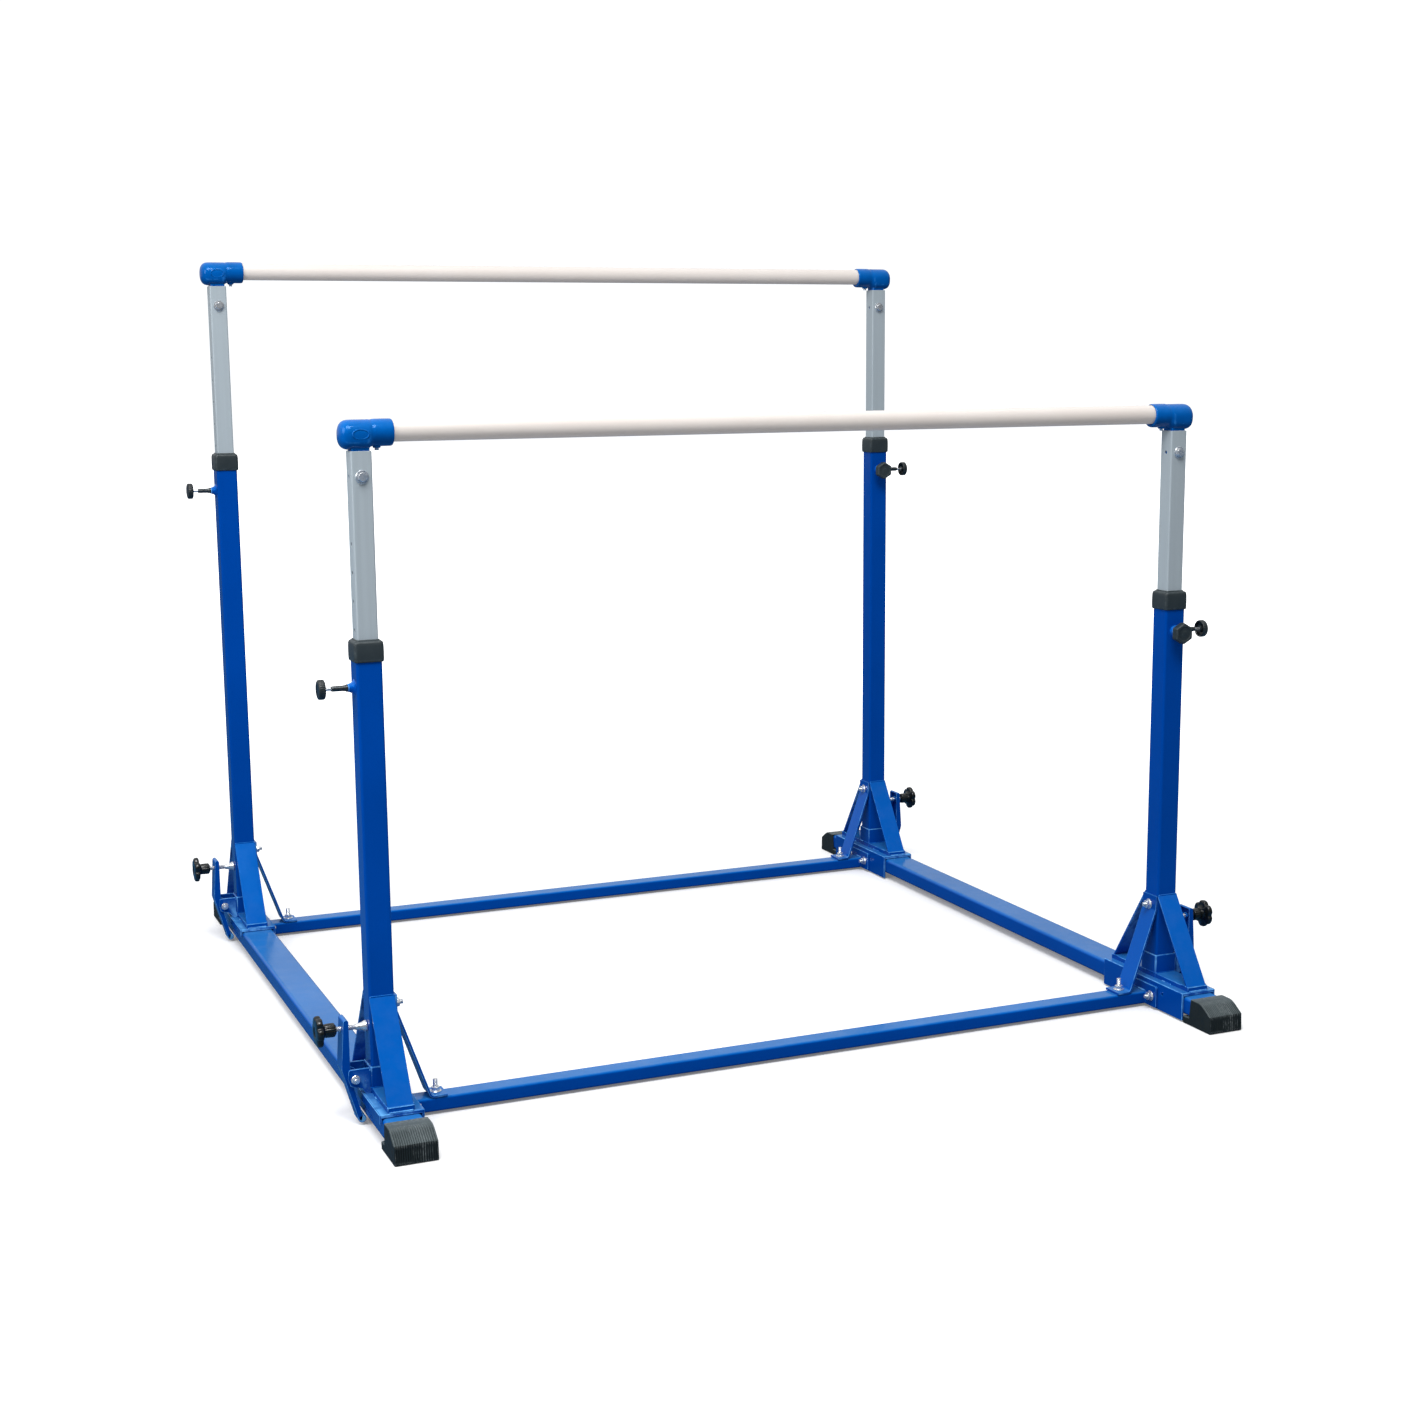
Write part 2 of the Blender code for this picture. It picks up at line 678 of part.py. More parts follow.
def saddle_face():
    """How far the saddle's inner wall stands from the upright's axis."""
    return BEAM_WIDTH / 2 + GAP + SADDLE_WALL


def rail_mesh():
    """A cross rail with a bolted flange at each end. Origin: middle of the rail on the floor."""
    reach = BAR_SPAN / 2 - saddle_face() - GAP
    middle = (RAIL_TOP + RAIL_BOTTOM) / 2
    outside, hollow = square_tube(
        RAIL_WIDTH / 2, (RAIL_TOP - RAIL_BOTTOM) / 2, 0.0025, -reach, reach, "X", (0, middle), 0.003
    )
    solids = [outside]
    for side in (-1, 1):
        ends = sorted((side * reach, side * (reach - FLANGE_THICKNESS)))
        low = (ends[0], -FLANGE_HALF_LENGTH, RAIL_BOTTOM)
        solids.append(block(low, (ends[1], FLANGE_HALF_LENGTH, FLANGE_TOP)))
        for along in (-FLANGE_BOLT[0], FLANGE_BOLT[0]):
            face = reach - FLANGE_THICKNESS
            washer = sorted((side * (face + 0.001), side * (face - 0.002)))
            head = sorted((side * (face - 0.001), side * (face - 0.009)))
            solids.append(rod("X", *washer, 0.0115, (0, along, FLANGE_BOLT[1]), 12))
            solids.append(hex_head("X", *head, 0.0185, (0, along, FLANGE_BOLT[1])))
    return fused(solids, [hollow])


def brace_mesh():
    """The flat stay from the upright down to the rail, on the inner side, with its two bolts."""
    face = -(OUTER_TUBE / 2 + GAP)
    foot = RAIL_TOP + GAP
    path = [(face, 0.253), (face, 0.221), (-0.0895, foot), (-0.124, foot)]
    outline = ribbon(list(reversed(path)), BRACE_THICKNESS)
    strip = plate("XZ", outline, -BRACE_WIDTH / 2, BRACE_WIDTH / 2)
    top = (0, 0, BRACE_BOLT_HEIGHT)
    nut = (-BRACE_NUT_REACH, 0, 0)
    skin = face - BRACE_THICKNESS
    deck = foot + BRACE_THICKNESS
    return fused(
        [
            strip,
            rod("X", skin - 0.002, skin + 0.001, 0.0115, top, 12),
            hex_head("X", skin - 0.009, skin - 0.001, 0.0185, top),
            rod("Z", deck - 0.001, deck + 0.002, 0.0115, nut, 12),
            hex_head("Z", deck + 0.001, deck + 0.010, 0.0185, nut),
            rod("Z", deck + 0.001, deck + 0.026, 0.005, nut, 8),
        ]
    )


# Assembly ------------------------------------------------------------------------------------


def build_base(base):
    foot = foot_mesh()
    beam = beam_mesh()
    for name, x_side in (("left", -1), ("right", 1)):
        put(f"base_beam_{name}", beam, "blue_paint", base, (x_side * BAR_SPAN / 2, 0, 0))
    for corner, (_, x_side, y_side) in CORNERS.items():
        place = (x_side * BAR_SPAN / 2, y_side * ROW_SPACING / 2, 0)
        end = empty(f"beam_end_{corner}", place, 0 if y_side < 0 else math.pi)
        end.parent = base
        put(f"foot_{corner}", foot, "foot_rubber", end)


def build_corner_pieces(axes, corner, row, shared):
    """The pieces that stand at one upright."""
    pin = (0, 0, pin_height(row))
    bar = (0, 0, bar_height(row))
    screw = (0, 0, SCREW_HEIGHT)
    pivot = (LEVER_PIVOT[0], 0, LEVER_PIVOT[1])
    put(f"saddle_{corner}", shared["saddle"], "blue_paint", axes)
    put(f"guide_collar_{corner}", shared["collar"], "slate_plastic", axes, (0, 0, TUBE_TOP[row]))
    put(f"inner_post_{corner}", shared["inner_post"], "grey_metal", axes, bar)
    put(f"bar_holder_{corner}", shared["holder"], "blue_moulding", axes, bar)
    bolt = (0, 0, bar[2] - HOLDER_BOLT_DROP)
    head_forward = (0, 0, -axes.rotation_euler.z)
    put(f"holder_bolt_{corner}", shared["holder_bolt"], "zinc", axes, bolt, head_forward)
    put(f"pull_pin_{corner}", shared["pull_pin"], "slate_plastic", axes, pin)
    put(f"clamp_lever_{corner}", shared["lever"], "blue_paint", axes, pivot)
    put(f"lever_pivot_{corner}", shared["pivot_bolt"], "zinc", axes, pivot)
    put(f"clamp_screw_{corner}", shared["clamp_screw"], "zinc", axes, screw)
    knob_turn = (math.radians(STAR_TURN.get(corner, 0)), 0, 0)
    put(f"star_knob_{corner}", shared["star_knob"], "black_plastic", axes, screw, knob_turn)
    put(f"brace_{corner}", shared["brace"], "blue_paint", axes)


def build_rows():
    shared = {
        "saddle": saddle_mesh(),
        "collar": collar_mesh(),
        "inner_post": inner_post_mesh(),
        "holder": holder_mesh(),
        "holder_bolt": holder_bolt_mesh(),
        "pull_pin": pull_pin_mesh(),
        "lever": lever_mesh(),
        "pivot_bolt": pivot_bolt_mesh(),
        "clamp_screw": clamp_screw_mesh(),
        "star_knob": star_knob_mesh(),
        "brace": brace_mesh(),
        "rail": rail_mesh(),
        "bar": bar_mesh(),
        "clamp_knob": clamp_knob_mesh(),
    }
    for row, y_side in (("front", -1), ("rear", 1)):
        centre = empty(f"{row}_row", (0, y_side * ROW_SPACING / 2, 0))
        put(f"cross_rail_{row}", shared["rail"], "blue_paint", centre)
        put(f"bar_{row}", shared["bar"], "bar_coating", centre, (0, 0, bar_height(row)))
    for corner, (row, x_side, y_side) in CORNERS.items():
        place = (x_side * BAR_SPAN / 2, y_side * ROW_SPACING / 2, 0)
        axes = empty(f"corner_{corner}", place, 0 if x_side > 0 else math.pi)
        build_corner_pieces(axes, corner, row, shared)
        right = x_side > 0
        put(f"upright_{corner}", upright_mesh(row, right), "blue_paint", axes)
        if right:
            pin = (0, 0, pin_height(row))
            put(f"clamp_knob_{row}", shared["clamp_knob"], "slate_plastic", axes, pin)


def main():
    clear_scene()
    collection("uneven_parallel_bars")
    collection("helpers")
    make_materials()
    build_base(empty("base", (0, 0, 0)))
    build_rows()


main()
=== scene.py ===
"""Looks of the junior gymnastics bars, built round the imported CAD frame.

Every piece is modelled in corner axes (origin on the floor under its upright, +X outwards along
the bars) or in row axes (origin on the floor under the middle of its bar), then put in place and
made to ride on its CAD body. Metres throughout.
"""

from math import ceil, copysign, cos, degrees, exp, hypot, pi, radians, sin, tan

import bmesh
import bpy
from mathutils import Matrix, Vector


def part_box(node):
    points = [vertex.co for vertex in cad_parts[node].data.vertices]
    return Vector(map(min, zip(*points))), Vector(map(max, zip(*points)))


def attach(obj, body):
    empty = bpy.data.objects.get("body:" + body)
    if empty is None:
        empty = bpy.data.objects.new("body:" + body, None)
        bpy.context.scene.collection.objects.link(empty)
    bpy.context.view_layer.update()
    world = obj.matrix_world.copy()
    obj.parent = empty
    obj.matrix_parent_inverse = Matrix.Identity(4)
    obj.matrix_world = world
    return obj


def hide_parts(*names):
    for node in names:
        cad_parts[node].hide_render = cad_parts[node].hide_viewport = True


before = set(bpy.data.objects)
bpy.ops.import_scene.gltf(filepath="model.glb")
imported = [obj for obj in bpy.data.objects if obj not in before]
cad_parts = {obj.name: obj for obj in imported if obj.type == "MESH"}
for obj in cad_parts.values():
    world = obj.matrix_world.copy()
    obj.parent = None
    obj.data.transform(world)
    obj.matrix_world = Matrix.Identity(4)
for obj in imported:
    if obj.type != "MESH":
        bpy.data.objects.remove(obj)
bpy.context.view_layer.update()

MM = 0.001
ROWS = ("front", "rear")
CORNERS = ("front_left", "front_right", "rear_left", "rear_right")


def offset(x=0.0, y=0.0, z=0.0):
    return Matrix.Translation((x, y, z))


def spin(axis, angle):
    return Matrix.Rotation(radians(angle), 4, axis)


TO_X = spin("Y", 90)  # turns a shape made along Z to lie along X
TO_Y = spin("X", -90)
TO_FRONT = spin("X", 90)  # along -Y
HALF_TURN = spin("Z", 180)
FROM_XZ = Matrix(((1, 0, 0, 0), (0, 0, -1, 0), (0, 1, 0, 0), (0, 0, 0, 1)))
FROM_YZ = Matrix(((0, 0, 1, 0), (1, 0, 0, 0), (0, 1, 0, 0), (0, 0, 0, 1)))


# Measures of the frame ----


def node_middle(node):
    low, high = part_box(node)
    return (low + high) / 2


def corner_axes(corner):
    post = node_middle(f"inner_post_{corner}")
    return offset(post.x, post.y) @ spin("Z", 0 if post.x > 0 else 180)


SADDLE_LOW, SADDLE_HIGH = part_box("saddle_front_right")
POST_X = node_middle("inner_post_front_right").x
ROW_Y = node_middle("inner_post_rear_right").y
GUSSET_TOP = SADDLE_HIGH.z
SADDLE_HALF = (SADDLE_HIGH.y - SADDLE_LOW.y) / 2
BEAM_LOW, BEAM_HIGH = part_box("base_beam_right")
FOOT_LOW, FOOT_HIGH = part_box("foot_front_right")
BAR_RADIUS = (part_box("bar_front")[1].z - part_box("bar_front")[0].z) / 2
BAR_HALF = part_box("bar_front")[1].x
SCREW_Z = node_middle("clamp_screw_front_right").z
PIVOT = node_middle("lever_pivot_front_right") - Vector((POST_X, -ROW_Y, 0))
BOLT_DROP = 0.082  # the holder's bolt below the bar's axis
SET_SCREW_X = -0.034  # from the post's axis towards the bar
FIRST_HOLE, HOLE_PITCH, HOLES = 0.2065, 0.0535, 10  # down the inner post from the bar's axis
RAIL_Z = 0.0205


# Node materials ----


class Nodes:
    """A node tree, with short ways to add, set and link its nodes."""

    def __init__(self, owner):
        owner.use_nodes = True
        self.tree = owner.node_tree

    def set(self, node, inputs):
        for key, value in inputs.items():
            socket = node.inputs[key if isinstance(key, int) else key.replace("_", " ")]
            if isinstance(value, bpy.types.NodeSocket):
                self.tree.links.new(value, socket)
            else:
                socket.default_value = value

    def add(self, kind, inputs=None, **attributes):
        node = self.tree.nodes.new(f"ShaderNode{kind}")
        for key, value in attributes.items():
            setattr(node, key, value)
        self.set(node, inputs or {})
        return node


class Paint(Nodes):
    """A material made of nodes."""

    def __init__(self, name, **settings):
        self.material = bpy.data.materials.new(name)
        super().__init__(self.material)
        self.shader = self.tree.nodes["Principled BSDF"]
        self.set(self.shader, settings)

    def place(self, stretch=(1, 1, 1)):
        """Object coordinates, shifted by a different amount for each object."""
        spot = self.add("TexCoord").outputs["Object"]
        shift = self.add("ObjectInfo").outputs["Random"]
        moved = self.add("VectorMath", {0: spot, 1: shift}, operation="ADD").outputs[0]
        return self.add("Mapping", {"Vector": moved, "Scale": stretch}).outputs[0]

    def noise(self, scale, detail=3.0, roughness=0.5, stretch=(1, 1, 1)):
        where = self.place(stretch)
        inputs = {"Vector": where, "Scale": scale, "Detail": detail, "Roughness": roughness}
        return self.add("TexNoise", inputs).outputs[0]

    def ramp(self, value, *stops):
        """Stops are (position, grey) or (position, colour)."""
        node = self.add("ValToRGB", {0: value})
        elements = node.color_ramp.elements
        while len(elements) < len(stops):
            elements.new(0.5)
        for element, (position, colour) in zip(elements, stops):
            element.position = position
            element.color = (colour,) * 3 + (1,) if isinstance(colour, float) else (*colour, 1)
        return node.outputs[0]

    def mix(self, factor, a, b, blend="MIX"):
        node = self.add("Mix", data_type="RGBA", blend_type=blend)
        for index, value in ((0, factor), (6, a), (7, b)):
            self.set(node, {index: (*value, 1) if isinstance(value, tuple) else value})
        return node.outputs[2]

    def maths(self, operation, a, b=0.0):
        return self.add("Math", {0: a, 1: b}, operation=operation).outputs[0]

    def edges(self):
        """White on rounded outward edges, as mark_edges found them."""
        return self.add("Attribute", attribute_name="edge").outputs["Fac"]

    def lean(self):
        """How far a face looks up: 0 for a wall, 1 for a level top, -1 for an underside."""
        normal = self.add("NewGeometry").outputs["Normal"]
        return self.add("SeparateXYZ", {0: normal}).outputs[2]

    def facing_up(self, start=0.3, end=1.0):
        return self.ramp(self.lean(), (start, 0.0), (end, 1.0))

    def bump(self, *layers):
        """Layers are (height, depth in metres)."""
        normal = None
        for height, depth in layers:
            inputs = {"Height": height, "Distance": depth, "Strength": 1.0}
            if normal is not None:
                inputs["Normal"] = normal
            normal = self.add("Bump", inputs).outputs[0]
        self.set(self.shader, {"Normal": normal})

    def worn(self, tone, scale, detail, low, high, strength, colour):
        """The tone with the rounded edges rubbed in patches to another colour."""
        patches = self.ramp(self.noise(scale, detail), (low, 0.0), (high, strength))
        patchy_edge_mask = self.maths("MULTIPLY", self.edges(), patches)
        return self.mix(patchy_edge_mask, tone, colour)

    def done(self, tone, rough, *layers, **settings):
        self.set(self.shader, {"Base Color": tone, "Roughness": rough, **settings})
        self.bump(*layers)
        return self.material


def painted_steel():
    """Glossy blue powder coat: orange peel, painted shade and light by facing, dust and painted sheen on
    ledges, painted edge highlights, chips.
    """
    paint = Paint("blue_powder_coat", Specular_IOR_Level=0.30)
    # painted shade and light: walls darkest, slopes lighter, level tops lightest, standing in for how
    # the light falls and for the paint's sheen
    wall, slope, top = (0.0, 0.060, 0.375), (0.0, 0.108, 0.52), (0.018, 0.165, 0.50)
    tone = paint.ramp(paint.lean(), (0.0, wall), (0.5, slope), (1.0, top))
    wash = paint.ramp(paint.noise(3.0), (0.3, 0.88), (0.7, 1.06))
    tone = paint.mix(1.0, tone, wash, "MULTIPLY")
    speck = paint.ramp(paint.noise(1100.0, 2.0), (0.30, 0.90), (0.75, 1.05))
    tone = paint.mix(0.5, tone, speck, "MULTIPLY")
    # painted highlight: rounded edges lightened in patches to a bright blue, standing in for the glints
    # along them
    patches = paint.ramp(paint.noise(45.0, 4.0), (0.36, 0.15), (0.58, 1.0))
    patchy_edge_mask = paint.maths("MULTIPLY", paint.edges(), patches)
    tone = paint.mix(paint.maths("MULTIPLY", patchy_edge_mask, 0.85), tone, (0.16, 0.50, 0.95))
    chip = paint.ramp(paint.noise(380.0, 4.0), (0.67, 0.0), (0.69, 1.0))
    tone = paint.mix(paint.maths("MULTIPLY", paint.edges(), chip), tone, (0.20, 0.25, 0.32))
    # dust and a painted sheen: level tops lightened in patches towards grey-blue
    dust_and_sheen = paint.ramp(paint.noise(22.0, 6.0, 0.65), (0.45, 0.0), (0.85, 0.10))
    tone = paint.mix(paint.maths("MULTIPLY", paint.facing_up(), dust_and_sheen), tone, (0.35, 0.42, 0.52))
    rough = paint.ramp(paint.noise(28.0, 5.0), (0.3, 0.12), (0.75, 0.24))
    layers = (paint.noise(420.0, 2.0), 0.00007), (paint.noise(14.0, 2.0), 0.0003)
    return paint.done(tone, rough, *layers, Specular_Tint=(0.06, 0.42, 1.0, 1))


def grey_steel():
    """Satin silver-grey coat on the sliding posts, with faint rub marks along them."""
    paint = Paint("silver_grey_coat", Metallic=0.15, Specular_IOR_Level=0.4)
    tone = paint.mix(paint.noise(4.0, 3.0), (0.425, 0.495, 0.540), (0.455, 0.522, 0.568))
    streaks = paint.ramp(paint.noise(140.0, 5.0, 0.6, (1, 1, 0.012)), (0.35, 0.94), (0.7, 1.03))
    tone = paint.mix(0.7, tone, streaks, "MULTIPLY")
    tone = paint.worn(tone, 90.0, 4.0, 0.5, 0.62, 0.6, (0.66, 0.70, 0.72))
    rough = paint.ramp(paint.noise(60.0, 5.0, 0.6, (1, 1, 0.05)), (0.3, 0.34), (0.7, 0.46))
    return paint.done(tone, rough, (paint.noise(900.0, 2.0), 0.00003), (streaks, 0.00003))


def grained_plastic(name, dark, light, rough, grain=1300.0, depth=0.00010):
    """Moulded plastic with a fine spark grain."""
    paint = Paint(name, Specular_IOR_Level=0.45)
    tone = paint.mix(paint.ramp(paint.noise(12.0, 4.0), (0.35, 0.0), (0.7, 1.0)), dark, light)
    rubbed = tuple(2.0 * c + 0.01 for c in light)
    tone = paint.worn(tone, 150.0, 3.0, 0.4, 0.65, 0.45, rubbed)
    blotch = paint.ramp(paint.noise(45.0, 4.0), (0.3, rough - 0.06), (0.75, rough + 0.08))
    layers = (paint.noise(grain, 2.0), depth), (paint.noise(60.0, 2.0), 0.00008)
    return paint.done(tone, blotch, *layers)


def foot_rubber():
    """Matt rubber with a pebbled skin, lighter where it faces up (dust and painted top light) and on its
    ridges (scuffs and painted highlight).
    """
    paint = Paint("foot_rubber", Specular_IOR_Level=0.3)
    tone = paint.mix(paint.noise(40.0, 5.0, 0.6), (0.005, 0.010, 0.011), (0.012, 0.020, 0.022))
    # dust and painted top light: faces that look up lightened in mottled patches
    dust_and_top_light = paint.ramp(paint.noise(30.0, 6.0, 0.7), (0.25, 0.55), (0.8, 1.0))
    dust_and_top_light = paint.maths("MULTIPLY", paint.facing_up(0.15, 0.75), dust_and_top_light)
    tone = paint.mix(paint.maths("MULTIPLY", dust_and_top_light, 0.9), tone, (0.100, 0.126, 0.134))
    # scuffs and painted highlight: rounded ridges lightened in patches towards grey
    scuff_and_ridge_light = paint.ramp(paint.noise(200.0, 3.0), (0.38, 0.10), (0.62, 0.75))
    tone = paint.mix(paint.maths("MULTIPLY", paint.edges(), scuff_and_ridge_light), tone, (0.17, 0.195, 0.205))
    rough = paint.ramp(paint.noise(80.0, 4.0), (0.3, 0.55), (0.7, 0.80))
    return paint.done(tone, rough, (paint.noise(1100.0, 3.0, 0.7), 0.00022))


def bar_coat():
    """Smooth warm off-white bar with a faint lengthwise grain and chalky hand marks."""
    paint = Paint("bar_coat", Specular_IOR_Level=0.4, Coat_Weight=0.10, Coat_Roughness=0.3)
    grain = paint.noise(70.0, 6.0, 0.6, (0.03, 1, 1))
    streaks = paint.ramp(grain, (0.3, 0.0), (0.7, 1.0))
    tone = paint.mix(streaks, (0.765, 0.700, 0.655), (0.80, 0.74, 0.70))
    chalk = paint.ramp(paint.noise(6.0, 5.0, 0.65), (0.48, 0.0), (0.78, 0.30))
    tone = paint.mix(chalk, tone, (0.86, 0.83, 0.80))
    rough = paint.ramp(paint.noise(25.0, 5.0), (0.3, 0.30), (0.75, 0.48))
    return paint.done(tone, rough, (grain, 0.00005), (paint.noise(500.0, 2.0), 0.00002))


def blue_moulding():
    """Glossy blue nylon of the bar holders, with painted shade below and painted light on top."""
    paint = Paint("blue_moulding", Specular_IOR_Level=0.30, Coat_Weight=0.15, Coat_Roughness=0.06)
    # painted shade and light: undersides darkest, walls mid, tops lightest, standing in for how the
    # light falls
    share = paint.add("MapRange", {0: paint.lean(), 1: -1.0, 2: 1.0}).outputs[0]
    below, wall, above = (0.0, 0.055, 0.26), (0.0, 0.098, 0.42), (0.0, 0.122, 0.46)
    tone = paint.ramp(share, (0.15, below), (0.5, wall), (0.85, above))
    cloud = paint.ramp(paint.noise(30.0, 4.0), (0.3, 0.90), (0.7, 1.05))
    tone = paint.mix(1.0, tone, cloud, "MULTIPLY")
    tone = paint.worn(tone, 120.0, 3.0, 0.4, 0.65, 0.5, (0.03, 0.22, 0.66))
    rough = paint.ramp(paint.noise(60.0, 4.0), (0.3, 0.14), (0.75, 0.26))
    layers = (paint.noise(300.0, 2.0), 0.00006), (paint.noise(45.0, 2.0), 0.0002)
    return paint.done(tone, rough, *layers, Specular_Tint=(0.1, 0.5, 1.0, 1))


def black_moulding():
    """Glossy black star knobs."""
    paint = Paint("black_moulding", Specular_IOR_Level=0.5)
    tone = paint.mix(paint.noise(50.0, 4.0), (0.002, 0.0035, 0.0035), (0.006, 0.008, 0.008))
    tone = paint.worn(tone, 200.0, 3.0, 0.45, 0.7, 0.4, (0.04, 0.045, 0.05))
    rough = paint.ramp(paint.noise(90.0, 5.0), (0.3, 0.10), (0.75, 0.26))
    return paint.done(tone, rough, (paint.noise(420.0, 2.0), 0.00005))


def zinc():
    """Bright zinc plating: patchy and lightly scratched."""
    paint = Paint("zinc_plating", Metallic=0.78)
    patches = paint.ramp(paint.noise(160.0, 4.0), (0.35, 0.0), (0.7, 1.0))
    tone = paint.mix(patches, (0.72, 0.75, 0.78), (0.93, 0.94, 0.96))
    grime = paint.ramp(paint.noise(500.0, 4.0, 0.7), (0.30, 0.45), (0.45, 1.0))
    tone = paint.mix(0.6, tone, grime, "MULTIPLY")
    rough = paint.ramp(paint.noise(300.0, 5.0, 0.7), (0.3, 0.14), (0.75, 0.34))
    return paint.done(tone, rough, (paint.noise(900.0, 3.0, 0.7), 0.00004))


def barrel_steel():
    """Oil-blackened steel of the pull pins' barrels."""
    paint = Paint("blackened_steel", Metallic=0.8)
    tone = paint.mix(paint.noise(180.0, 4.0), (0.030, 0.038, 0.040), (0.10, 0.11, 0.115))
    rough = paint.ramp(paint.noise(260.0, 4.0), (0.3, 0.28), (0.75, 0.46))
    return paint.done(tone, rough, (paint.noise(700.0, 3.0), 0.00005))


SLATE = ((0.018, 0.027, 0.031), (0.029, 0.040, 0.045))
SOOT = ((0.008, 0.012, 0.014), (0.018, 0.025, 0.028))

MATERIALS = {
    "blue_paint": painted_steel(),
    "grey_metal": grey_steel(),
    "slate_plastic": grained_plastic("slate_moulding", *SLATE, 0.46),
    "knob": grained_plastic("knob_moulding", *SOOT, 0.34, 900.0, 0.00005),
    "black_plastic": black_moulding(),
    "foot_rubber": foot_rubber(),
    "bar_coating": bar_coat(),
    "blue_moulding": blue_moulding(),
    "zinc": zinc(),
    "barrel": barrel_steel(),
}
SLOTS = {"barrel": "zinc", "knob": "slate_plastic"}  # looks that belong to another slot


# Shapes in mesh code ----


def loft(loops, ring=False):
    """A skin through loops of equally many points, closed at its ends or joined into a ring."""
    shape = bmesh.new()
    rows = [[shape.verts.new(point) for point in loop] for loop in loops]
    pairs = list(zip(rows, rows[1:]))
    if ring:
        pairs.append((rows[-1], rows[0]))
    for a, b in pairs:
        for i in range(len(a)):
            j = (i + 1) % len(a)
            shape.faces.new((a[i], a[j], b[j], b[i]))
    if not ring:
        shape.faces.new(reversed(rows[0]))
        shape.faces.new(rows[-1])
    bmesh.ops.recalc_face_normals(shape, faces=shape.faces)
    return shape


def turned(profile, count=48, form=None, ring=False):
    """A shape round Z from (radius, height) pairs. form(angle, radius, height) alters a radius."""
    loops = []
    for radius, height in profile:
        loop = []
        for i in range(count):
            angle = 2 * pi * i / count
            reach = form(angle, radius, height) if form else radius
            loop.append((reach * cos(angle), reach * sin(angle), height))
        loops.append(loop)
    return loft(loops, ring)


def in_metres(profile):
    """(radius, height) pairs from millimetres."""
    return [(radius * MM, height * MM) for radius, height in profile]


def rounded_rect(half_a, half_b, radius, steps=6):
    points = []
    for k, (side_a, side_b) in enumerate(((1, 1), (-1, 1), (-1, -1), (1, -1))):
        for i in range(steps + 1):
            angle = radians(90 * k + 90 * i / steps)
            a = side_a * (half_a - radius) + radius * cos(angle)
            b = side_b * (half_b - radius) + radius * sin(angle)
            points.append((a, b))
    return points


def box_loops(sections, steps=6):
    """Loops of a rounded rectangle from (half_a, half_b, corner radius, height) sections."""
    return [[(a, b, z) for a, b in rounded_rect(p, q, r, steps)] for p, q, r, z in sections]


def square_loops(sections, steps=6):
    """Loops of rounded squares from (half width, corner radius, height) in millimetres."""
    return box_loops([(a * MM, a * MM, r * MM, z * MM) for a, r, z in sections], steps)


def square_tube(half_a, half_b, radius, wall, low, high):
    """A tube along Z with rounded corners and eased rims."""
    ease = 0.0006
    rim = [(0, low + ease), (ease, low), (wall - ease, low), (wall, low + ease)]
    rim += [(wall, high - ease), (wall - ease, high), (ease, high), (0, high - ease)]
    sections = [(half_a - i, half_b - i, max(radius - i, 0.0012), z) for i, z in rim]
    return loft(box_loops(sections), ring=True)


def soften(shape, edges, radius):
    bmesh.ops.bevel(shape, geom=edges, offset=radius, segments=3, profile=0.5, affect="EDGES")
    return shape


def block(low, high):
    """A sharp-edged block between two corners."""
    low, high = Vector(low), Vector(high)
    matrix = Matrix.Translation((low + high) / 2) @ Matrix.Diagonal((*(high - low), 1))
    shape = bmesh.new()
    bmesh.ops.create_cube(shape, size=1, matrix=matrix)
    return shape


def soft_block(low, high, radius):
    """A block between two corners with all its edges rounded."""
    shape = block(low, high)
    return soften(shape, shape.edges[:], radius)


def plate(outline, low, high, ease):
    """A flat outline in XY between two heights, with rounded rims."""
    shape = bmesh.new()
    bottom = [shape.verts.new((a, b, low)) for a, b in outline]
    top = [shape.verts.new((a, b, high)) for a, b in outline]
    shape.faces.new(reversed(bottom))
    shape.faces.new(top)
    for i in range(len(outline)):
        j = (i + 1) % len(outline)
        shape.faces.new((bottom[i], bottom[j], top[j], top[i]))
    bmesh.ops.recalc_face_normals(shape, faces=shape.faces)
    rims = [e for e in shape.edges if abs(e.verts[0].co.z - e.verts[1].co.z) < 1e-9]
    return soften(shape, rims, ease)


def rod(radius, low, high, count=24):
    """A plain cylinder along Z, as a shank or to cut a hole."""
    return turned([(radius, low), (radius, high)], count)


def moved(shape, *matrices):
    for matrix in matrices:
        shape.transform(matrix)
    bmesh.ops.recalc_face_normals(shape, faces=shape.faces)
    return shape


def shifted(shape, x=0.0, y=0.0, z=0.0):
    return moved(shape, offset(x, y, z))


def rounded_path(points, radius, closed=True, step=20):
    """A polyline in a plane with its corners replaced by arcs of at most this radius."""
    corners = [Vector(p) for p in points]
    out = []
    count = len(corners)
    for i, corner in enumerate(corners):
        if not closed and i in (0, count - 1):
            out.append(tuple(corner))
            continue
        before = corners[i - 1] - corner
        after = corners[(i + 1) % count] - corner
        reach_limit = 0.45 * min(before.length, after.length)
        before.normalize()
        after.normalize()
        half = before.angle(after) / 2
        reach = min(radius / tan(half), reach_limit)
        centre = corner + (before + after).normalized() * reach / cos(half)
        turn = pi - 2 * half
        steps = max(1, ceil(degrees(turn) / step))
        start = corner + before * reach - centre
        spin = copysign(turn, before.x * after.y - before.y * after.x)
        for k in range(steps + 1):
            angle = -spin * k / steps
            x = start.x * cos(angle) - start.y * sin(angle)
            y = start.x * sin(angle) + start.y * cos(angle)
            out.append((centre.x + x, centre.y + y))
    return out


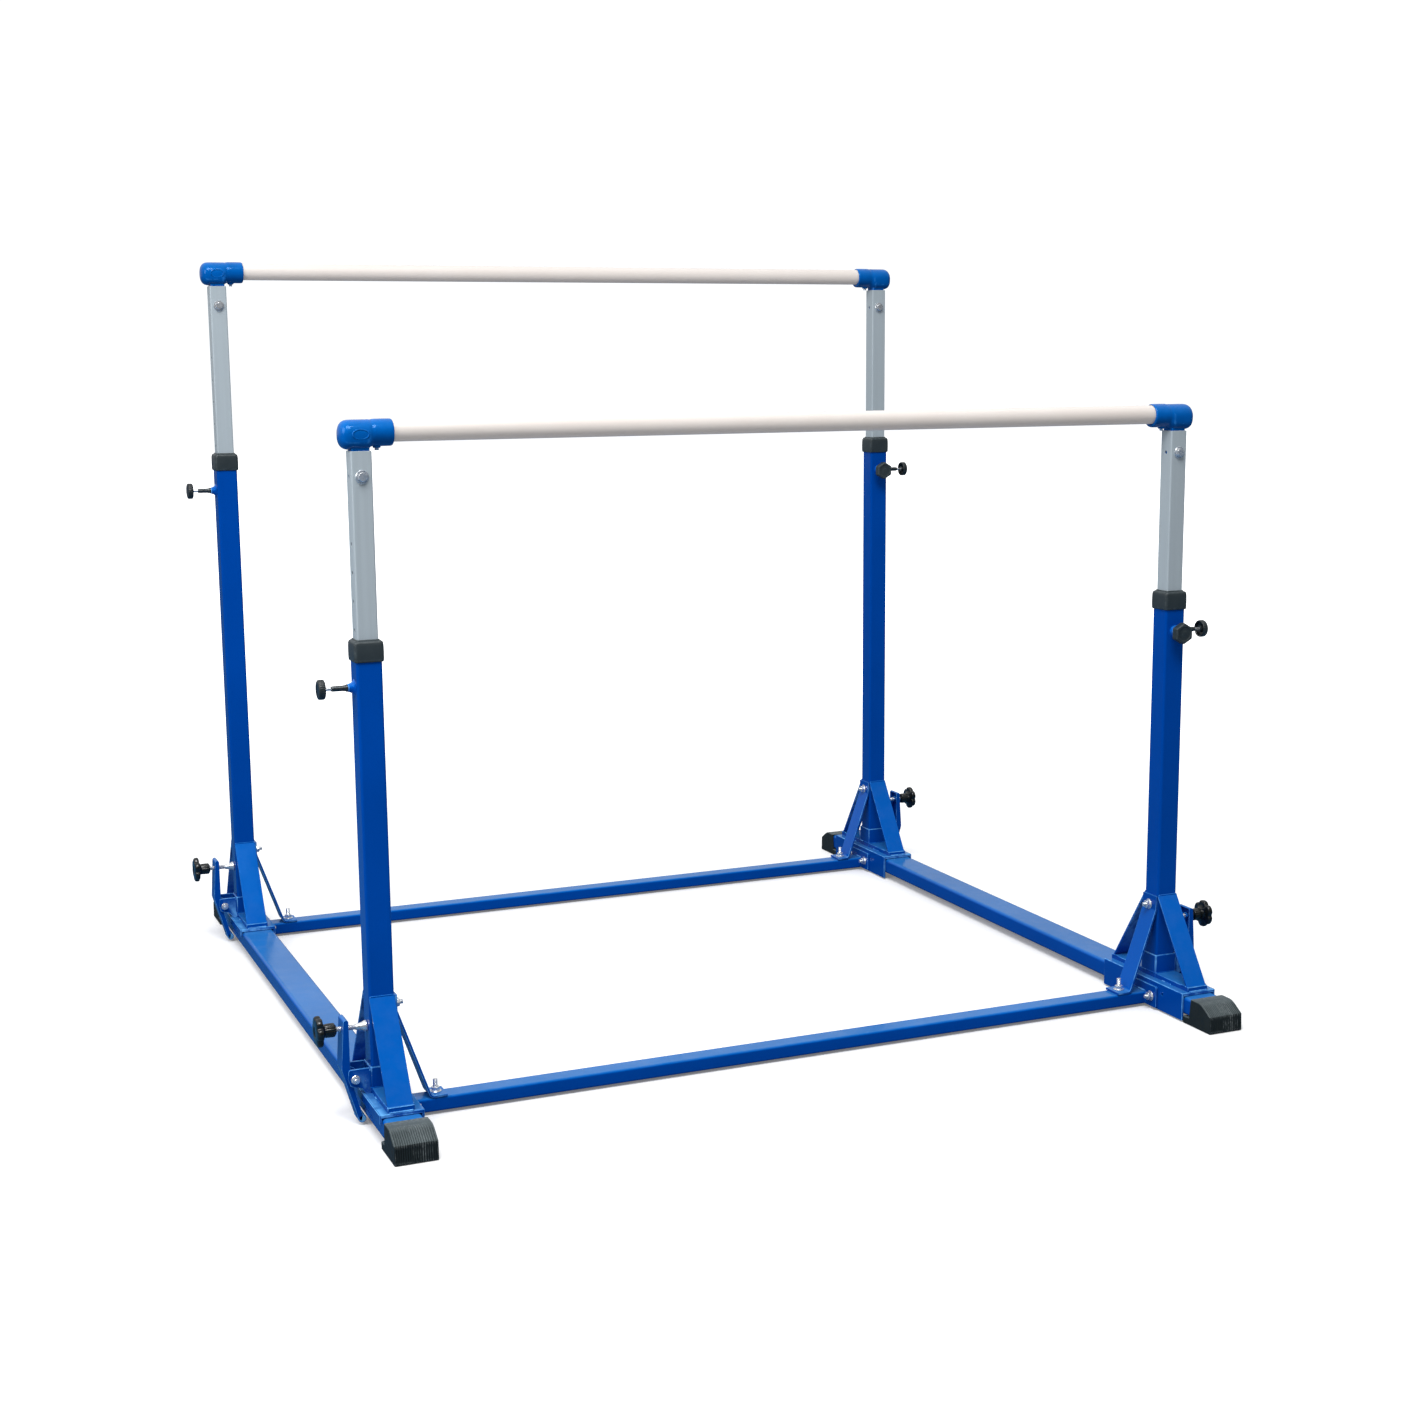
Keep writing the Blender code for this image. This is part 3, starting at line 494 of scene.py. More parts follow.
def ribbon(path, thickness):
    """The outline of a strip lying on the left of a path."""
    points = [Vector(p) for p in path]
    offset = []
    for i, point in enumerate(points):
        before = (point - points[i - 1]).normalized() if i else None
        after = (points[i + 1] - point).normalized() if i + 1 < len(points) else None
        sides = [Vector((-d.y, d.x)) for d in (before, after) if d is not None]
        mitre = sum(sides, Vector((0, 0))).normalized()
        offset.append(point + mitre * thickness / mitre.dot(sides[0]))
    return [tuple(p) for p in points] + [tuple(p) for p in reversed(offset)]


def swept(points, radius, ripple):
    """A bead along a path in space, its thickness rippling like a weld's scales."""
    count, pitch = 10, 0.003
    path = [Vector(points[0])]
    for a, b in zip(points, points[1:]):
        a, b = Vector(a), Vector(b)
        steps = max(1, round((b - a).length / (pitch / 4)))
        path += [a.lerp(b, (i + 1) / steps) for i in range(steps)]
    loops = []
    run = 0.0
    side = None
    for i, point in enumerate(path):
        ahead = path[min(i + 1, len(path) - 1)] - path[max(i - 1, 0)]
        direction = ahead.normalized()
        if side is None:
            side = direction.orthogonal().normalized()
        side = (side - direction * side.dot(direction)).normalized()
        other = direction.cross(side)
        run += (point - path[max(i - 1, 0)]).length
        end = min(i, len(path) - 1 - i)
        reach = radius * (1 + ripple * sin(2 * pi * run / pitch)) * min(1.0, 0.35 + end * 0.25)
        loop = []
        for k in range(count):
            angle = 2 * pi * k / count
            loop.append(point + side * reach * cos(angle) + other * reach * sin(angle))
        loops.append(loop)
    return loft(loops)


def as_mesh(name, shape):
    mesh = bpy.data.meshes.new(name)
    shape.to_mesh(mesh)
    shape.free()
    return mesh


def linked(name, data):
    obj = bpy.data.objects.new(name, data)
    bpy.context.scene.collection.objects.link(obj)
    return obj


def as_object(name, shape):
    return linked(name, as_mesh(name, shape))


def solid(shapes, cutters=()):
    """One closed mesh from overlapping shapes, less the cutters."""
    body = as_object("work", shapes[0])
    others = []
    for operation, batch in (("UNION", shapes[1:]), ("DIFFERENCE", cutters)):
        for shape in batch:
            other = as_object("work", shape)
            modifier = body.modifiers.new(operation, "BOOLEAN")
            modifier.operation = operation
            modifier.object = other
            others.append(other)
    bpy.context.view_layer.update()
    graph = bpy.context.evaluated_depsgraph_get()
    mesh = bpy.data.meshes.new_from_object(body.evaluated_get(graph))
    for obj in [body] + others:
        bpy.data.objects.remove(obj)
    out = bmesh.new()
    out.from_mesh(mesh)
    bmesh.ops.remove_doubles(out, verts=out.verts, dist=5e-7)
    return out


def group(shapes):
    """Separate shells kept as one piece, such as a washer and the head on it."""
    out = bmesh.new()
    for shape in shapes:
        mesh = as_mesh("shell", shape)
        out.from_mesh(mesh)
        bpy.data.meshes.remove(mesh)
    return out


def mark_edges(shape):
    """Stores for each vertex whether it lies on a rounded outward edge, where paint wears and where edge
    highlights are painted.
    """
    layer = shape.verts.layers.float.new("edge")
    bend = {}
    for vertex in shape.verts:
        angles = [edge.calc_face_angle_signed(0) for edge in vertex.link_edges]
        sharp = max(map(abs, angles), default=0) > radians(35)
        bend[vertex] = 0 if sharp else max(angles, default=0)
    for vertex, angle in bend.items():
        around = max((bend[edge.other_vert(vertex)] for edge in vertex.link_edges), default=0)
        vertex[layer] = float(angle > radians(9) and angle > 0.75 * around)


def finished(name, shape, slot, angle=42):
    """The mesh of a piece, with its material, smooth except across its sharp edges."""
    mark_edges(shape)
    mesh = as_mesh(name, shape)
    mesh.materials.append(MATERIALS[slot])
    mesh.shade_smooth()
    mesh.set_sharp_from_angle(angle=radians(angle))
    return mesh, SLOTS.get(slot, slot)


def put(name, made, body, at, replaces=()):
    mesh, slot = made
    obj = linked(name, mesh)
    obj.matrix_world = at
    normals = obj.modifiers.new("Even shading", "WEIGHTED_NORMAL")
    normals.keep_sharp = True
    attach(obj, body)
    if replaces:
        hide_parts(*replaces)


# Fasteners ----


def in_sixth(angle):
    """The angle from the nearest multiple of 60 degrees, with its sign."""
    return (angle + radians(30)) % radians(60) - radians(30)


def hexagon(angle, across_corners):
    """Radius of a regular hexagon with corners slightly eased."""
    apothem = across_corners / 2 * cos(radians(30))
    return min(apothem / cos(in_sixth(angle)), across_corners / 2 * 0.985)


def hex_solid(across_corners, height, chamfer_low=False):
    """A hexagonal head or nut from z=0 up, chamfered on top and, for a nut, below."""
    apothem = across_corners / 2 * cos(radians(30))
    full = across_corners
    profile = [(apothem * 0.97, 0), (full, height * 0.14)] if chamfer_low else [(full, 0)]
    profile += [(full, height * 0.80), (apothem * 1.06, height * 0.93), (apothem * 0.93, height)]

    def form(angle, radius, _):
        return min(hexagon(angle, across_corners), radius)

    return turned(profile, 60, form)


def washer(radius, hole, thickness):
    ease = thickness * 0.3
    profile = [(hole, 0), (radius - ease, 0), (radius, ease), (radius, thickness - ease)]
    profile += [(radius - ease, thickness), (hole, thickness)]
    return turned(profile, 40, ring=True)


def thread(radius, depth, pitch, start, end, count=28):
    """A threaded rod along Z with a tapered start at its far end."""
    steps = max(4, round((end - start) / (pitch / 5)))

    def form(angle, full, height):
        phase = (height / pitch - angle / (2 * pi)) % 1.0
        crest = abs(2 * phase - 1)
        tip = min(1.0, (end - height) / (1.2 * pitch) + 0.55)
        return (full - depth * crest) * min(1.0, tip + 0.2)

    profile = [(radius, start + (end - start) * i / steps) for i in range(steps + 1)]
    return turned(profile, count, form)


def bolt_head(size=0.0185, height=0.0065, washer_radius=0.0115):
    """Washer and hexagonal head standing up from z=0."""
    crown = hex_solid(size, height)
    return group([washer(washer_radius, size * 0.28, 0.002), shifted(crown, z=0.002)])


def nut_end(size=0.0185, washer_radius=0.0115, stud=0.005, length=0.008):
    """Washer, nut and the stud's threaded end standing up from z=0."""
    return group(
        [
            washer(washer_radius, stud, 0.002),
            shifted(hex_solid(size, size * 0.42, True), z=0.002),
            thread(stud, 0.0005, 0.0012, 0.002, 0.002 + size * 0.42 + length),
        ]
    )


# Base ----


def build_beam():
    half_width = (BEAM_HIGH.x - BEAM_LOW.x) / 2
    half_height = (BEAM_HIGH.z - BEAM_LOW.z) / 2
    tube = square_tube(half_width, half_height, 0.0075, 0.003, BEAM_LOW.y, BEAM_HIGH.y)
    return finished("beam", moved(tube, TO_Y), "blue_paint")


FOOT = {
    "sole": 0.1535,  # distances from the upright's axis, from the sole's back to the front face
    "cap_low": 0.175,
    "cap": 0.180,
    "bend": 0.2165,
    "crest": 0.250,
    "end": 0.2525,
    "crest_height": 0.039,
    "pitch": 0.0044,  # of the grooves
    "groove": 0.0017,
}


def foot_outline():
    """Side view of a foot as (distance, height, share of rib depth), round the outside."""
    top = FOOT_HIGH.z
    cap, bend, end = FOOT["cap"], FOOT["bend"], FOOT["end"]
    crest, crest_z = FOOT["crest"], FOOT["crest_height"]
    out = [(FOOT["sole"], 0.0012, 0), (FOOT["sole"], 0.0155, 0), (FOOT["cap_low"], 0.0165, 0)]
    out += [(cap - 0.0010, top - 0.0015, 0), (cap + 0.0012, top, 0)]
    slope = (top - crest_z) / (crest - bend)
    for i in range(7):
        along = (i / 6 - 0.5) * 0.020
        drop = slope * max(0.0, along + 0.010) ** 2 / 0.040
        out.append((bend + along, top - drop, i / 6))
    last_y, last_z, _ = out[-1]
    for i in range(1, 5):
        share = i / 5
        out.append((last_y + (crest - last_y) * share, last_z + (crest_z - last_z) * share, 1))
    out += [(crest - 0.0006, crest_z + 0.0003, 1), (crest + 0.0004, crest_z - 0.0010, 1)]
    for i in range(1, 5):
        out.append((crest + 0.0005 + 0.0018 * i / 5, crest_z * (1 - i / 5), 1))
    out += [(end, 0.004, 1), (end - 0.0012, 0.001, 0), (end - 0.004, 0, 0)]
    out += [(FOOT["sole"] + 0.0012, 0, 0)]
    return out


def outline_normals(outline):
    """Outward directions at the points of a closed outline that runs clockwise."""
    out = []
    count = len(outline)
    for i in range(count):
        a = Vector(outline[i - 1][:2])
        b = Vector(outline[(i + 1) % count][:2])
        along = (b - a).normalized()
        out.append(Vector((-along.y, along.x)))
    return out


def drawn_in(loop):
    """A smaller copy of an end loop, so that wear on its rim doesn't run across the flat side."""
    centre = Vector((loop[0][0], -0.205, 0.012))
    return [Vector(point).lerp(centre, 0.04) for point in loop]


def foot_loop(x, half, outline, normals):
    """The outline at one place across the beam: drawn in at the ends and down in a groove."""
    edge = half - abs(x)
    inset = 0.0016 * (1 - min(1.0, edge / 0.0016))
    phase = (x + half) / FOOT["pitch"]
    groove = FOOT["groove"] * max(0.0, cos(2 * pi * phase)) ** 0.7
    groove *= min(1.0, edge / 0.003)
    loop = []
    for (y, z, ribbed), normal in zip(outline, normals):
        shrink = inset + groove * ribbed
        loop.append((x, -(y - normal.x * shrink), max(0.0, z - normal.y * shrink)))
    return loop


def beam_pocket():
    """The room that a foot leaves for the beam's end."""
    half = (BEAM_HIGH.x - BEAM_LOW.x) / 2 + 0.0003
    low = (-half, -(BEAM_HIGH.y - ROW_Y) - 0.0003, BEAM_LOW.z - 0.0003)
    return block(low, (half, -0.10, BEAM_HIGH.z + 0.0003))


def build_foot():
    """The rubber end cap, a skin through many outlines side by side across the beam."""
    outline = foot_outline()
    normals = outline_normals(outline)
    half = (FOOT_HIGH.x - FOOT_LOW.x) / 2
    columns = 6 * round(2 * half / FOOT["pitch"])
    xs = [-half + 2 * half * i / columns for i in range(columns + 1)]
    loops = [foot_loop(x, half, outline, normals) for x in xs]
    loops = [drawn_in(loops[0])] + loops + [drawn_in(loops[-1])]
    return finished("foot", solid([loft(loops)], [beam_pocket()]), "foot_rubber", 50)


def build_base():
    beam = build_beam()
    foot = build_foot()
    middle = (BEAM_HIGH.z + BEAM_LOW.z) / 2
    for side in ("left", "right"):
        node = f"base_beam_{side}"
        at = offset(node_middle(node).x, z=middle)
        put(f"beam_{side}", beam, "base", at, [node])
    for corner in CORNERS:
        node = f"foot_{corner}"
        post = node_middle(f"inner_post_{corner}")
        at = offset(post.x, post.y) @ spin("Z", 0 if post.y < 0 else 180)
        put(f"rubber_foot_{corner}", foot, "base", at, [node])


# Saddle ----


SKIN = 0.0253  # the upright's face, with a hair of air
PLINTH_TOP = 0.075
DECK = 0.065
SOCKET_TOP = 0.117


def gusset_shape(side):
    """An inclined plate from the upright down to the end of the saddle."""
    foot = 0.150
    run = foot - SKIN
    rise = GUSSET_TOP - DECK
    slope = hypot(run, rise)
    drop = 0.005 * slope / run
    inset = 0.005 * slope / rise
    outline = [(SKIN, GUSSET_TOP), (foot, DECK - 0.001)]
    outline += [(foot - inset, DECK - 0.001), (SKIN, GUSSET_TOP - drop)]
    outline = [(side * y, z) for y, z in outline]
    return moved(plate(outline, -0.025, 0.025, 0.0012), FROM_YZ)


def lug_shape(side):
    x, z = PIVOT.x, PIVOT.z
    outline = [(0.0262, SOCKET_TOP - 0.001), (x + 0.0125, SOCKET_TOP - 0.001), (x + 0.0145, z + 0.002)]
    outline += [(x + 0.0095, z - 0.0135), (x - 0.012, 0.077)]
    outline += [(0.037, DECK - 0.001), (0.0262, DECK - 0.001)]
    outline = rounded_path(outline, 0.005)
    low, high = sorted((-side * 0.0212, -side * 0.0262))
    return moved(plate(outline, low, high, 0.0011), FROM_XZ)


def build_saddle():
    inner = SADDLE_LOW.x - POST_X
    wall = inner + 0.0055
    lip = 0.0433
    half = SADDLE_HALF
    sleeve = [(0.028, 0.028, 0.004, DECK), (0.028, 0.028, 0.004, SOCKET_TOP - 0.003)]
    sleeve += [(0.0272, 0.0272, 0.004, SOCKET_TOP - 0.0008), (0.0262, 0.0262, 0.004, SOCKET_TOP)]
    shapes = [
        soft_block((inner, -half, 0.0573), (lip, half, DECK), 0.0018),
        soft_block((inner, -half, SADDLE_LOW.z), (wall, half, DECK), 0.0018),
        soft_block((0.0383, -half, 0.046), (lip, half, DECK), 0.0016),
        soft_block((-0.026, -0.148, DECK - 0.003), (0.026, 0.148, PLINTH_TOP), 0.0014),
        loft(box_loops(sleeve)),
    ]
    shapes += [gusset_shape(side) for side in (-1, 1)] + [lug_shape(side) for side in (-1, 1)]
    well = loft(box_loops([(SKIN, SKIN, 0.005, PLINTH_TOP), (SKIN, SKIN, 0.005, 0.14)]))
    pivot = rod(0.0044, -0.04, 0.04)
    cutters = [well, moved(pivot, TO_Y, offset(PIVOT.x, z=PIVOT.z))]
    for y in (0.078, -0.078):
        hole = rod(0.0035, -0.06, -0.03, 20)
        cutters.append(moved(hole, TO_X, offset(y=y, z=0.042)))
    return finished("saddle", solid(shapes, cutters), "blue_paint")


def build_saddle_welds():
    """Weld beads along the joints of the saddle."""
    beads = []
    corner = 0.0268
    for side in (-1, 1):
        face, top = side * (SKIN + 0.0004), GUSSET_TOP - 0.0010
        toe, low = side * 0.1500, PLINTH_TOP - 0.0092
        beads.append(swept([(-0.0235, face, top), (0.0235, face, top)], 0.0016, ripple=0.10))
        beads.append(swept([(-0.0240, toe, low), (0.0240, toe, low)], 0.0017, ripple=0.12))
        for edge in (-1, 1):
            x = edge * 0.0258
            high = [(x, side * y, PLINTH_TOP) for y in (0.120, 0.142)]
            deck = [(x * 1.01, side * y, DECK) for y in (0.050, 0.085)]
            beads.append(swept(high, 0.0014, ripple=0.15))
            beads.append(swept(deck, 0.0016, ripple=0.15))
    ring = [(1, -1), (1, 1), (-1, 1), (-1, -1), (1, -1)]
    ring = [(corner * x, corner * y, PLINTH_TOP + 0.0004) for x, y in ring]
    beads.append(swept(ring, 0.0019, ripple=0.12))
    for side in (-1, 1):
        upright = [(0.0285, side * 0.0265, z) for z in (DECK + 0.012, SOCKET_TOP - 0.004)]
        beads.append(swept(upright, 0.0012, ripple=0.15))
    return finished("saddle_welds", group(beads), "blue_paint", 60)


def build_pivot_bolt():
    face = 0.0265
    head = moved(bolt_head(0.0150, 0.0050, 0.0088), TO_Y)
    back = moved(nut_end(0.0150, 0.0088, 0.0038, 0.003), TO_Y)
    head = moved(head, HALF_TURN, offset(0, -face))
    back = shifted(back, y=face)
    shank = moved(rod(0.0039, -face, face), TO_Y)
    return finished("pivot_bolt", group([head, back, shank]), "zinc")


# Uprights ----


def build_upright(top, pin, clamp):
    """The outer tube with the welded bosses of the pull pin and, on the right, of the clamp."""
    tube = square_tube(0.025, 0.025, 0.0052, 0.003, PLINTH_TOP + 0.0003, top)
    flare = [(0.0158, 0.0225), (0.0158, 0.0252), (0.0138, 0.0262), (0.0112, 0.0285), (0.0092, 0.0320)]
    flare += [(0.0082, 0.0352), (0.0078, 0.0368), (0.0066, 0.0380), (0.0050, 0.0380), (0.0050, 0.0225)]
    lift = offset(z=pin)
    shapes = [tube, moved(turned(flare, 40, ring=True), TO_X, lift)]
    cutters = [moved(rod(0.0050, 0.015, 0.045, 32), TO_X, lift)]
    if clamp:
        profile = [(0.0158, 0.0225), (0.0158, 0.0250), (0.0142, 0.0262), (0.0134, 0.0285)]
        profile += [(0.0132, 0.0365), (0.0122, 0.0380), (0.0056, 0.0380), (0.0056, 0.0225)]
        place = (TO_FRONT, lift)
        shapes.append(moved(turned(profile, 40, ring=True), *place))
        cutters.append(moved(rod(0.0056, 0.015, 0.045, 32), *place))
    return finished("upright", solid(shapes, cutters), "blue_paint")


def build_barrel():
    """The blackened threaded barrel that guides a pull pin, with its lock ring."""
    ring = [(0.0034, 0.0376), (0.0068, 0.0376), (0.0072, 0.0382)]
    ring += [(0.0072, 0.0402), (0.0066, 0.0412), (0.0034, 0.0412)]
    nose = [(0.0034, 0.0400), (0.0059, 0.0400), (0.0058, 0.0445), (0.0054, 0.0460), (0.0052, 0.0660)]
    nose += [(0.0048, 0.0682), (0.0040, 0.0690), (0.0034, 0.0690)]
    shapes = [turned(ring, 40, ring=True), turned(nose, 40, ring=True)]
    for i in range(9):
        at = 0.0478 + 0.0020 * i
        groove = [(0.0050, at - 0.0006), (0.00545, at), (0.0050, at + 0.0006)]
        shapes.append(turned(groove, 40, ring=True))
    return finished("barrel", moved(group(shapes), TO_X), "barrel")


def build_collar():
    """The moulded cap with its thin lip, round shoulder, slightly bellied sides and inner sleeve."""
    outer = [(26.3, 5.5, -34.0), (27.6, 6.0, -33.4), (28.3, 6.4, -31.5), (28.6, 6.6, -27.0)]
    outer += [(28.7, 6.6, -15.0), (28.5, 6.6, -4.0), (28.1, 6.6, 1.0)]
    outer += [(27.2, 6.4, 3.6), (25.6, 6.0, 5.2), (23.6, 5.2, 6.0)]
    outer += [(22.6, 4.6, 6.4), (22.3, 4.4, 7.4), (22.1, 4.3, 7.9), (21.5, 4.0, 8.2), (20.8, 3.4, 8.0)]
    inner = [(20.5, 3.3, 7.2), (20.4, 3.3, -63.0), (20.8, 3.4, -64.0), (21.6, 3.6, -63.4)]
    inner += [(21.7, 3.6, -2.0), (21.7, 3.6, 0.4), (25.3, 5.4, 0.4)]
    inner += [(25.3, 5.4, -33.2), (25.7, 5.5, -34.0)]
    shell = loft(square_loops(outer + inner, 8), ring=True)
    return finished("collar", shell, "slate_plastic", 50)


def build_inner_post():
    """The grey sliding tube with its holes. Origin on the bar's axis."""
    low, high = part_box("inner_post_front_right")
    axis = node_middle("bar_front").z
    tube = square_tube(0.020, 0.020, 0.0034, 0.003, low.z - axis, high.z - axis)
    cutters = []
    for i in range(HOLES):
        drill = rod(0.0042, 0.0, 0.03, 28)
        cutters.append(moved(drill, TO_X, offset(z=-FIRST_HOLE - HOLE_PITCH * i)))
    cross = offset(z=-BOLT_DROP)
    cutters.append(moved(rod(0.0042, -0.03, 0.03, 28), TO_X, cross))
    cutters.append(moved(rod(0.0053, -0.03, 0.03, 28), TO_Y, cross))
    return finished("inner_post", solid([tube], cutters), "grey_metal")


# Bars and holders ----


def build_bar():
    steps = 60
    ends = [(BAR_RADIUS * 0.93, -BAR_HALF), (BAR_RADIUS, -BAR_HALF + 0.0015)]
    middle = [(BAR_RADIUS, -BAR_HALF + 2 * BAR_HALF * i / steps) for i in range(1, steps)]
    profile = ends + middle + [(BAR_RADIUS, BAR_HALF - 0.0015), (BAR_RADIUS * 0.93, BAR_HALF)]
    return finished("bar", moved(turned(profile, 72), TO_X), "bar_coating")


HOLDER = {"radius": 0.0268, "drop": 0.0022, "bulb_drop": 0.0046}


def square_up(vertex, share):
    """Moves a point on the lower half of the bulb outwards, towards a rounded square."""
    radius = hypot(vertex.co.y, vertex.co.z)
    if radius < 0.001 or vertex.co.z > 0 or share <= 0:
        return
    down, across = -vertex.co.z / radius, abs(vertex.co.y) / radius
    power = 2 + 0.8 * share * min(1.0, 2 * down)
    push = (down**power + across**power) ** (-1 / power)
    vertex.co.y *= push
    vertex.co.z *= push * (1 + 0.055 * share)


def holder_sleeve():
    """Outside of the moulding along the bar: dome, bulb over the post, soft crease, socket, rim."""
    full = HOLDER["radius"] * 1000
    turns = [radians(angle) for angle in range(0, 88, 6)]
    dome = [(max(0.4, full * sin(a) ** 0.80), 13.0 + 25.5 * cos(a) ** 0.62) for a in turns]
    bulb = [(full, 10.0), (full, 0.0), (full, -8.0), (full - 0.1, -13.0)]
    drops = [(0.5, -17.0), (1.2, -19.6), (1.9, -21.6), (2.1, -23.4), (1.9, -25.4)]  # crease
    drops += [(1.6, -29.0), (1.5, -38.0), (1.5, -52.0), (1.6, -58.0), (1.9, -60.6)]  # socket
    drops += [(2.5, -62.0), (3.4, -62.8), (4.4, -63.0)]  # rim
    rest = [(full - drop, x) for drop, x in drops] + [(0.4, -63.0)]
    profile = reversed(dome + bulb + rest)
    sleeve = moved(turned(in_metres(profile), 72), TO_X)
    for vertex in sleeve.verts:
        share = min(1.0, max(0.0, (vertex.co.x + 0.026) / 0.012))
        square_up(vertex, share)
        vertex.co.z -= HOLDER["drop"] + (HOLDER["bulb_drop"] - HOLDER["drop"]) * share
    return sleeve


def oval_ring(side):
    """The raised blank oval on the side of a holder."""
    half_long, half_high = 0.0152, 0.0092
    radius = HOLDER["radius"] + 0.0003
    loops = []
    for i in range(72):
        t = 2 * pi * i / 72
        turn = half_high * sin(t) / radius
        out = Vector((0, side * cos(turn), sin(turn)))
        centre = Vector((half_long * cos(t) + 0.001, 0, -HOLDER["bulb_drop"])) + out * radius
        upward = Vector((0, -side * sin(turn), cos(turn)))
        across = Vector((cos(t) / half_long, 0, 0)) + upward * sin(t) / half_high
        across.normalize()
        bead = []
        for k in range(12):
            angle = 2 * pi * k / 12
            bead.append(centre + across * 0.0013 * cos(angle) + out * 0.0009 * sin(angle))
        loops.append(bead)
    return loft(loops, ring=True)


def build_holder():
    """The moulded holder. Origin on the bar's axis."""
    plug = [(16.4, 2, -111.5), (16.7, 2, -110.5), (16.7, 2, -36.2)]
    neck = [(16.7, 3, -36.5), (16.9, 3, -33.8), (17.2, 4, -31.0), (17.7, 6, -27.5), (18.2, 8, -21.0)]
    shapes = [holder_sleeve(), loft(square_loops(neck)), loft(square_loops(plug))]
    pad = [(0.0062, -0.0305), (0.0070, -0.0295), (0.0078, -0.0270), (0.0084, -0.0230)]
    shapes.append(shifted(turned(pad, 32), x=SET_SCREW_X))
    shapes.append(oval_ring(1))
    bore = [(0.0018, -0.08), (0.0014, -0.0630), (0.0006, -0.0612), (0.0006, 0.0098)]
    bore = moved(turned([(BAR_RADIUS + air, x) for air, x in bore], 72), TO_X)
    bolt = moved(rod(0.0053, -0.03, 0.03), TO_Y, offset(z=-BOLT_DROP))
    return finished("holder", solid(shapes, [bore, bolt]), "blue_moulding", 50)


def build_set_screw():
    """The grub screw under a holder's socket, with its hexagonal recess."""
    body = thread(0.0040, 0.0003, 0.0010, 0.0, 0.0062, 24)

    def six_sided(angle, radius, _):
        return hexagon(angle, radius)

    recess = turned([(0.0040, 0.0040), (0.0040, 0.008)], 60, six_sided)
    shape = solid([body], [recess])
    return finished("set_screw", moved(shape, spin("X", 180)), "zinc")


def build_holder_bolt():
    """Origin on its own axis, head towards -Y."""
    face = 0.0203
    head = moved(bolt_head(0.0180, 0.0062, 0.0125), TO_Y, HALF_TURN)
    back = moved(nut_end(0.0180, 0.0108, 0.0048, 0.0012), TO_Y)
    shank = moved(rod(0.0048, -face, face), TO_Y)
    shapes = [shifted(head, y=-face), shifted(back, y=face), shank]
    return finished("holder_bolt", group(shapes), "zinc")


# Hand controls ----


def build_pull_knob():
    """The cupped knob with a ribbed rim, along X from the upright's centre line."""

    def ribbed(angle, radius, _):
        return radius + (0.0005 * abs(sin(15 * angle)) if radius > 0.0174 else 0)

    hub = [(3.6, 81.6), (6.2, 81.0), (7.0, 81.8), (7.6, 87.0), (9.0, 88.4), (14.2, 87.6)]
    cup = [(15.2, 84.0), (15.8, 82.0), (16.8, 81.4), (17.8, 82.2), (18.4, 83.6)]
    rim = [(18.5, 91.0), (18.0, 93.0), (16.6, 94.2), (15.0, 94.6), (12.5, 94.4)]
    face = [(11.8, 93.8), (6.0, 93.6), (0.8, 93.6)]
    knob = turned(in_metres(hub + cup + rim + face), 180, ribbed)
    return finished("pull_knob", moved(knob, TO_X), "knob", 50)


def build_pull_shaft():
    shaft = turned(in_metres([(0.8, 20.4), (2.4, 20.7), (2.9, 22.5), (2.9, 81.2), (2.9, 83.0)]), 28)
    return finished("pull_shaft", moved(shaft, TO_X), "zinc")


def build_clamp_knob():
    """The hexagonal clamp knob, along -Y from the upright's centre line."""

    def hexed(angle, radius, height):
        blend = min(1.0, max(0.0, (radius - 0.0165) / 0.004))
        flat = radius * cos(radians(30)) / cos(in_sixth(angle))
        return radius + (min(flat, radius * 0.965) - radius) * blend

    neck = [(6.0, 38.5), (12.0, 38.6), (12.8, 39.4), (13.4, 41.6), (20.0, 42.4), (22.6, 43.4)]
    side = [(23.8, 45.4), (24.2, 50.0), (24.0, 57.5), (23.2, 59.8), (21.6, 61.0), (18.6, 61.4)]
    face = [(15.8, 61.4), (15.2, 61.0), (14.9, 60.2), (14.2, 60.0), (7.0, 60.0), (6.2, 60.6)]
    face += [(4.8, 60.8), (0.8, 60.8)]
    knob = turned(in_metres(neck + side + face), 120, hexed)
    return finished("clamp_knob", moved(knob, TO_FRONT), "slate_plastic", 50)


def build_clamp_stud():
    stud = thread(0.0041, 0.0004, 0.0010, 0.0206, 0.0400, 24)
    return finished("clamp_stud", moved(stud, TO_FRONT), "zinc")


LEVER_TOP = (0.0755, 0.214)  # points of the channel's back as (distance outwards, height)
LEVER_BEND = (0.0815, 0.116)
LEVER_TIP = (0.0530, 0.016)
LEVER_INNER = LEVER_TOP[0] - 0.0105  # free edge of the channel's side walls


def lever_head(inset=0.0):
    """The rounded top end of the channel, from its outer to its inner edge."""
    radius = (LEVER_TOP[0] - LEVER_INNER) / 2
    centre = (LEVER_TOP[0] - radius, LEVER_TOP[1] - radius)
    angles = [radians(20 * i) for i in range(10)]
    reach = radius - inset
    return [(centre[0] + reach * cos(a), centre[1] + reach * sin(a)) for a in angles]


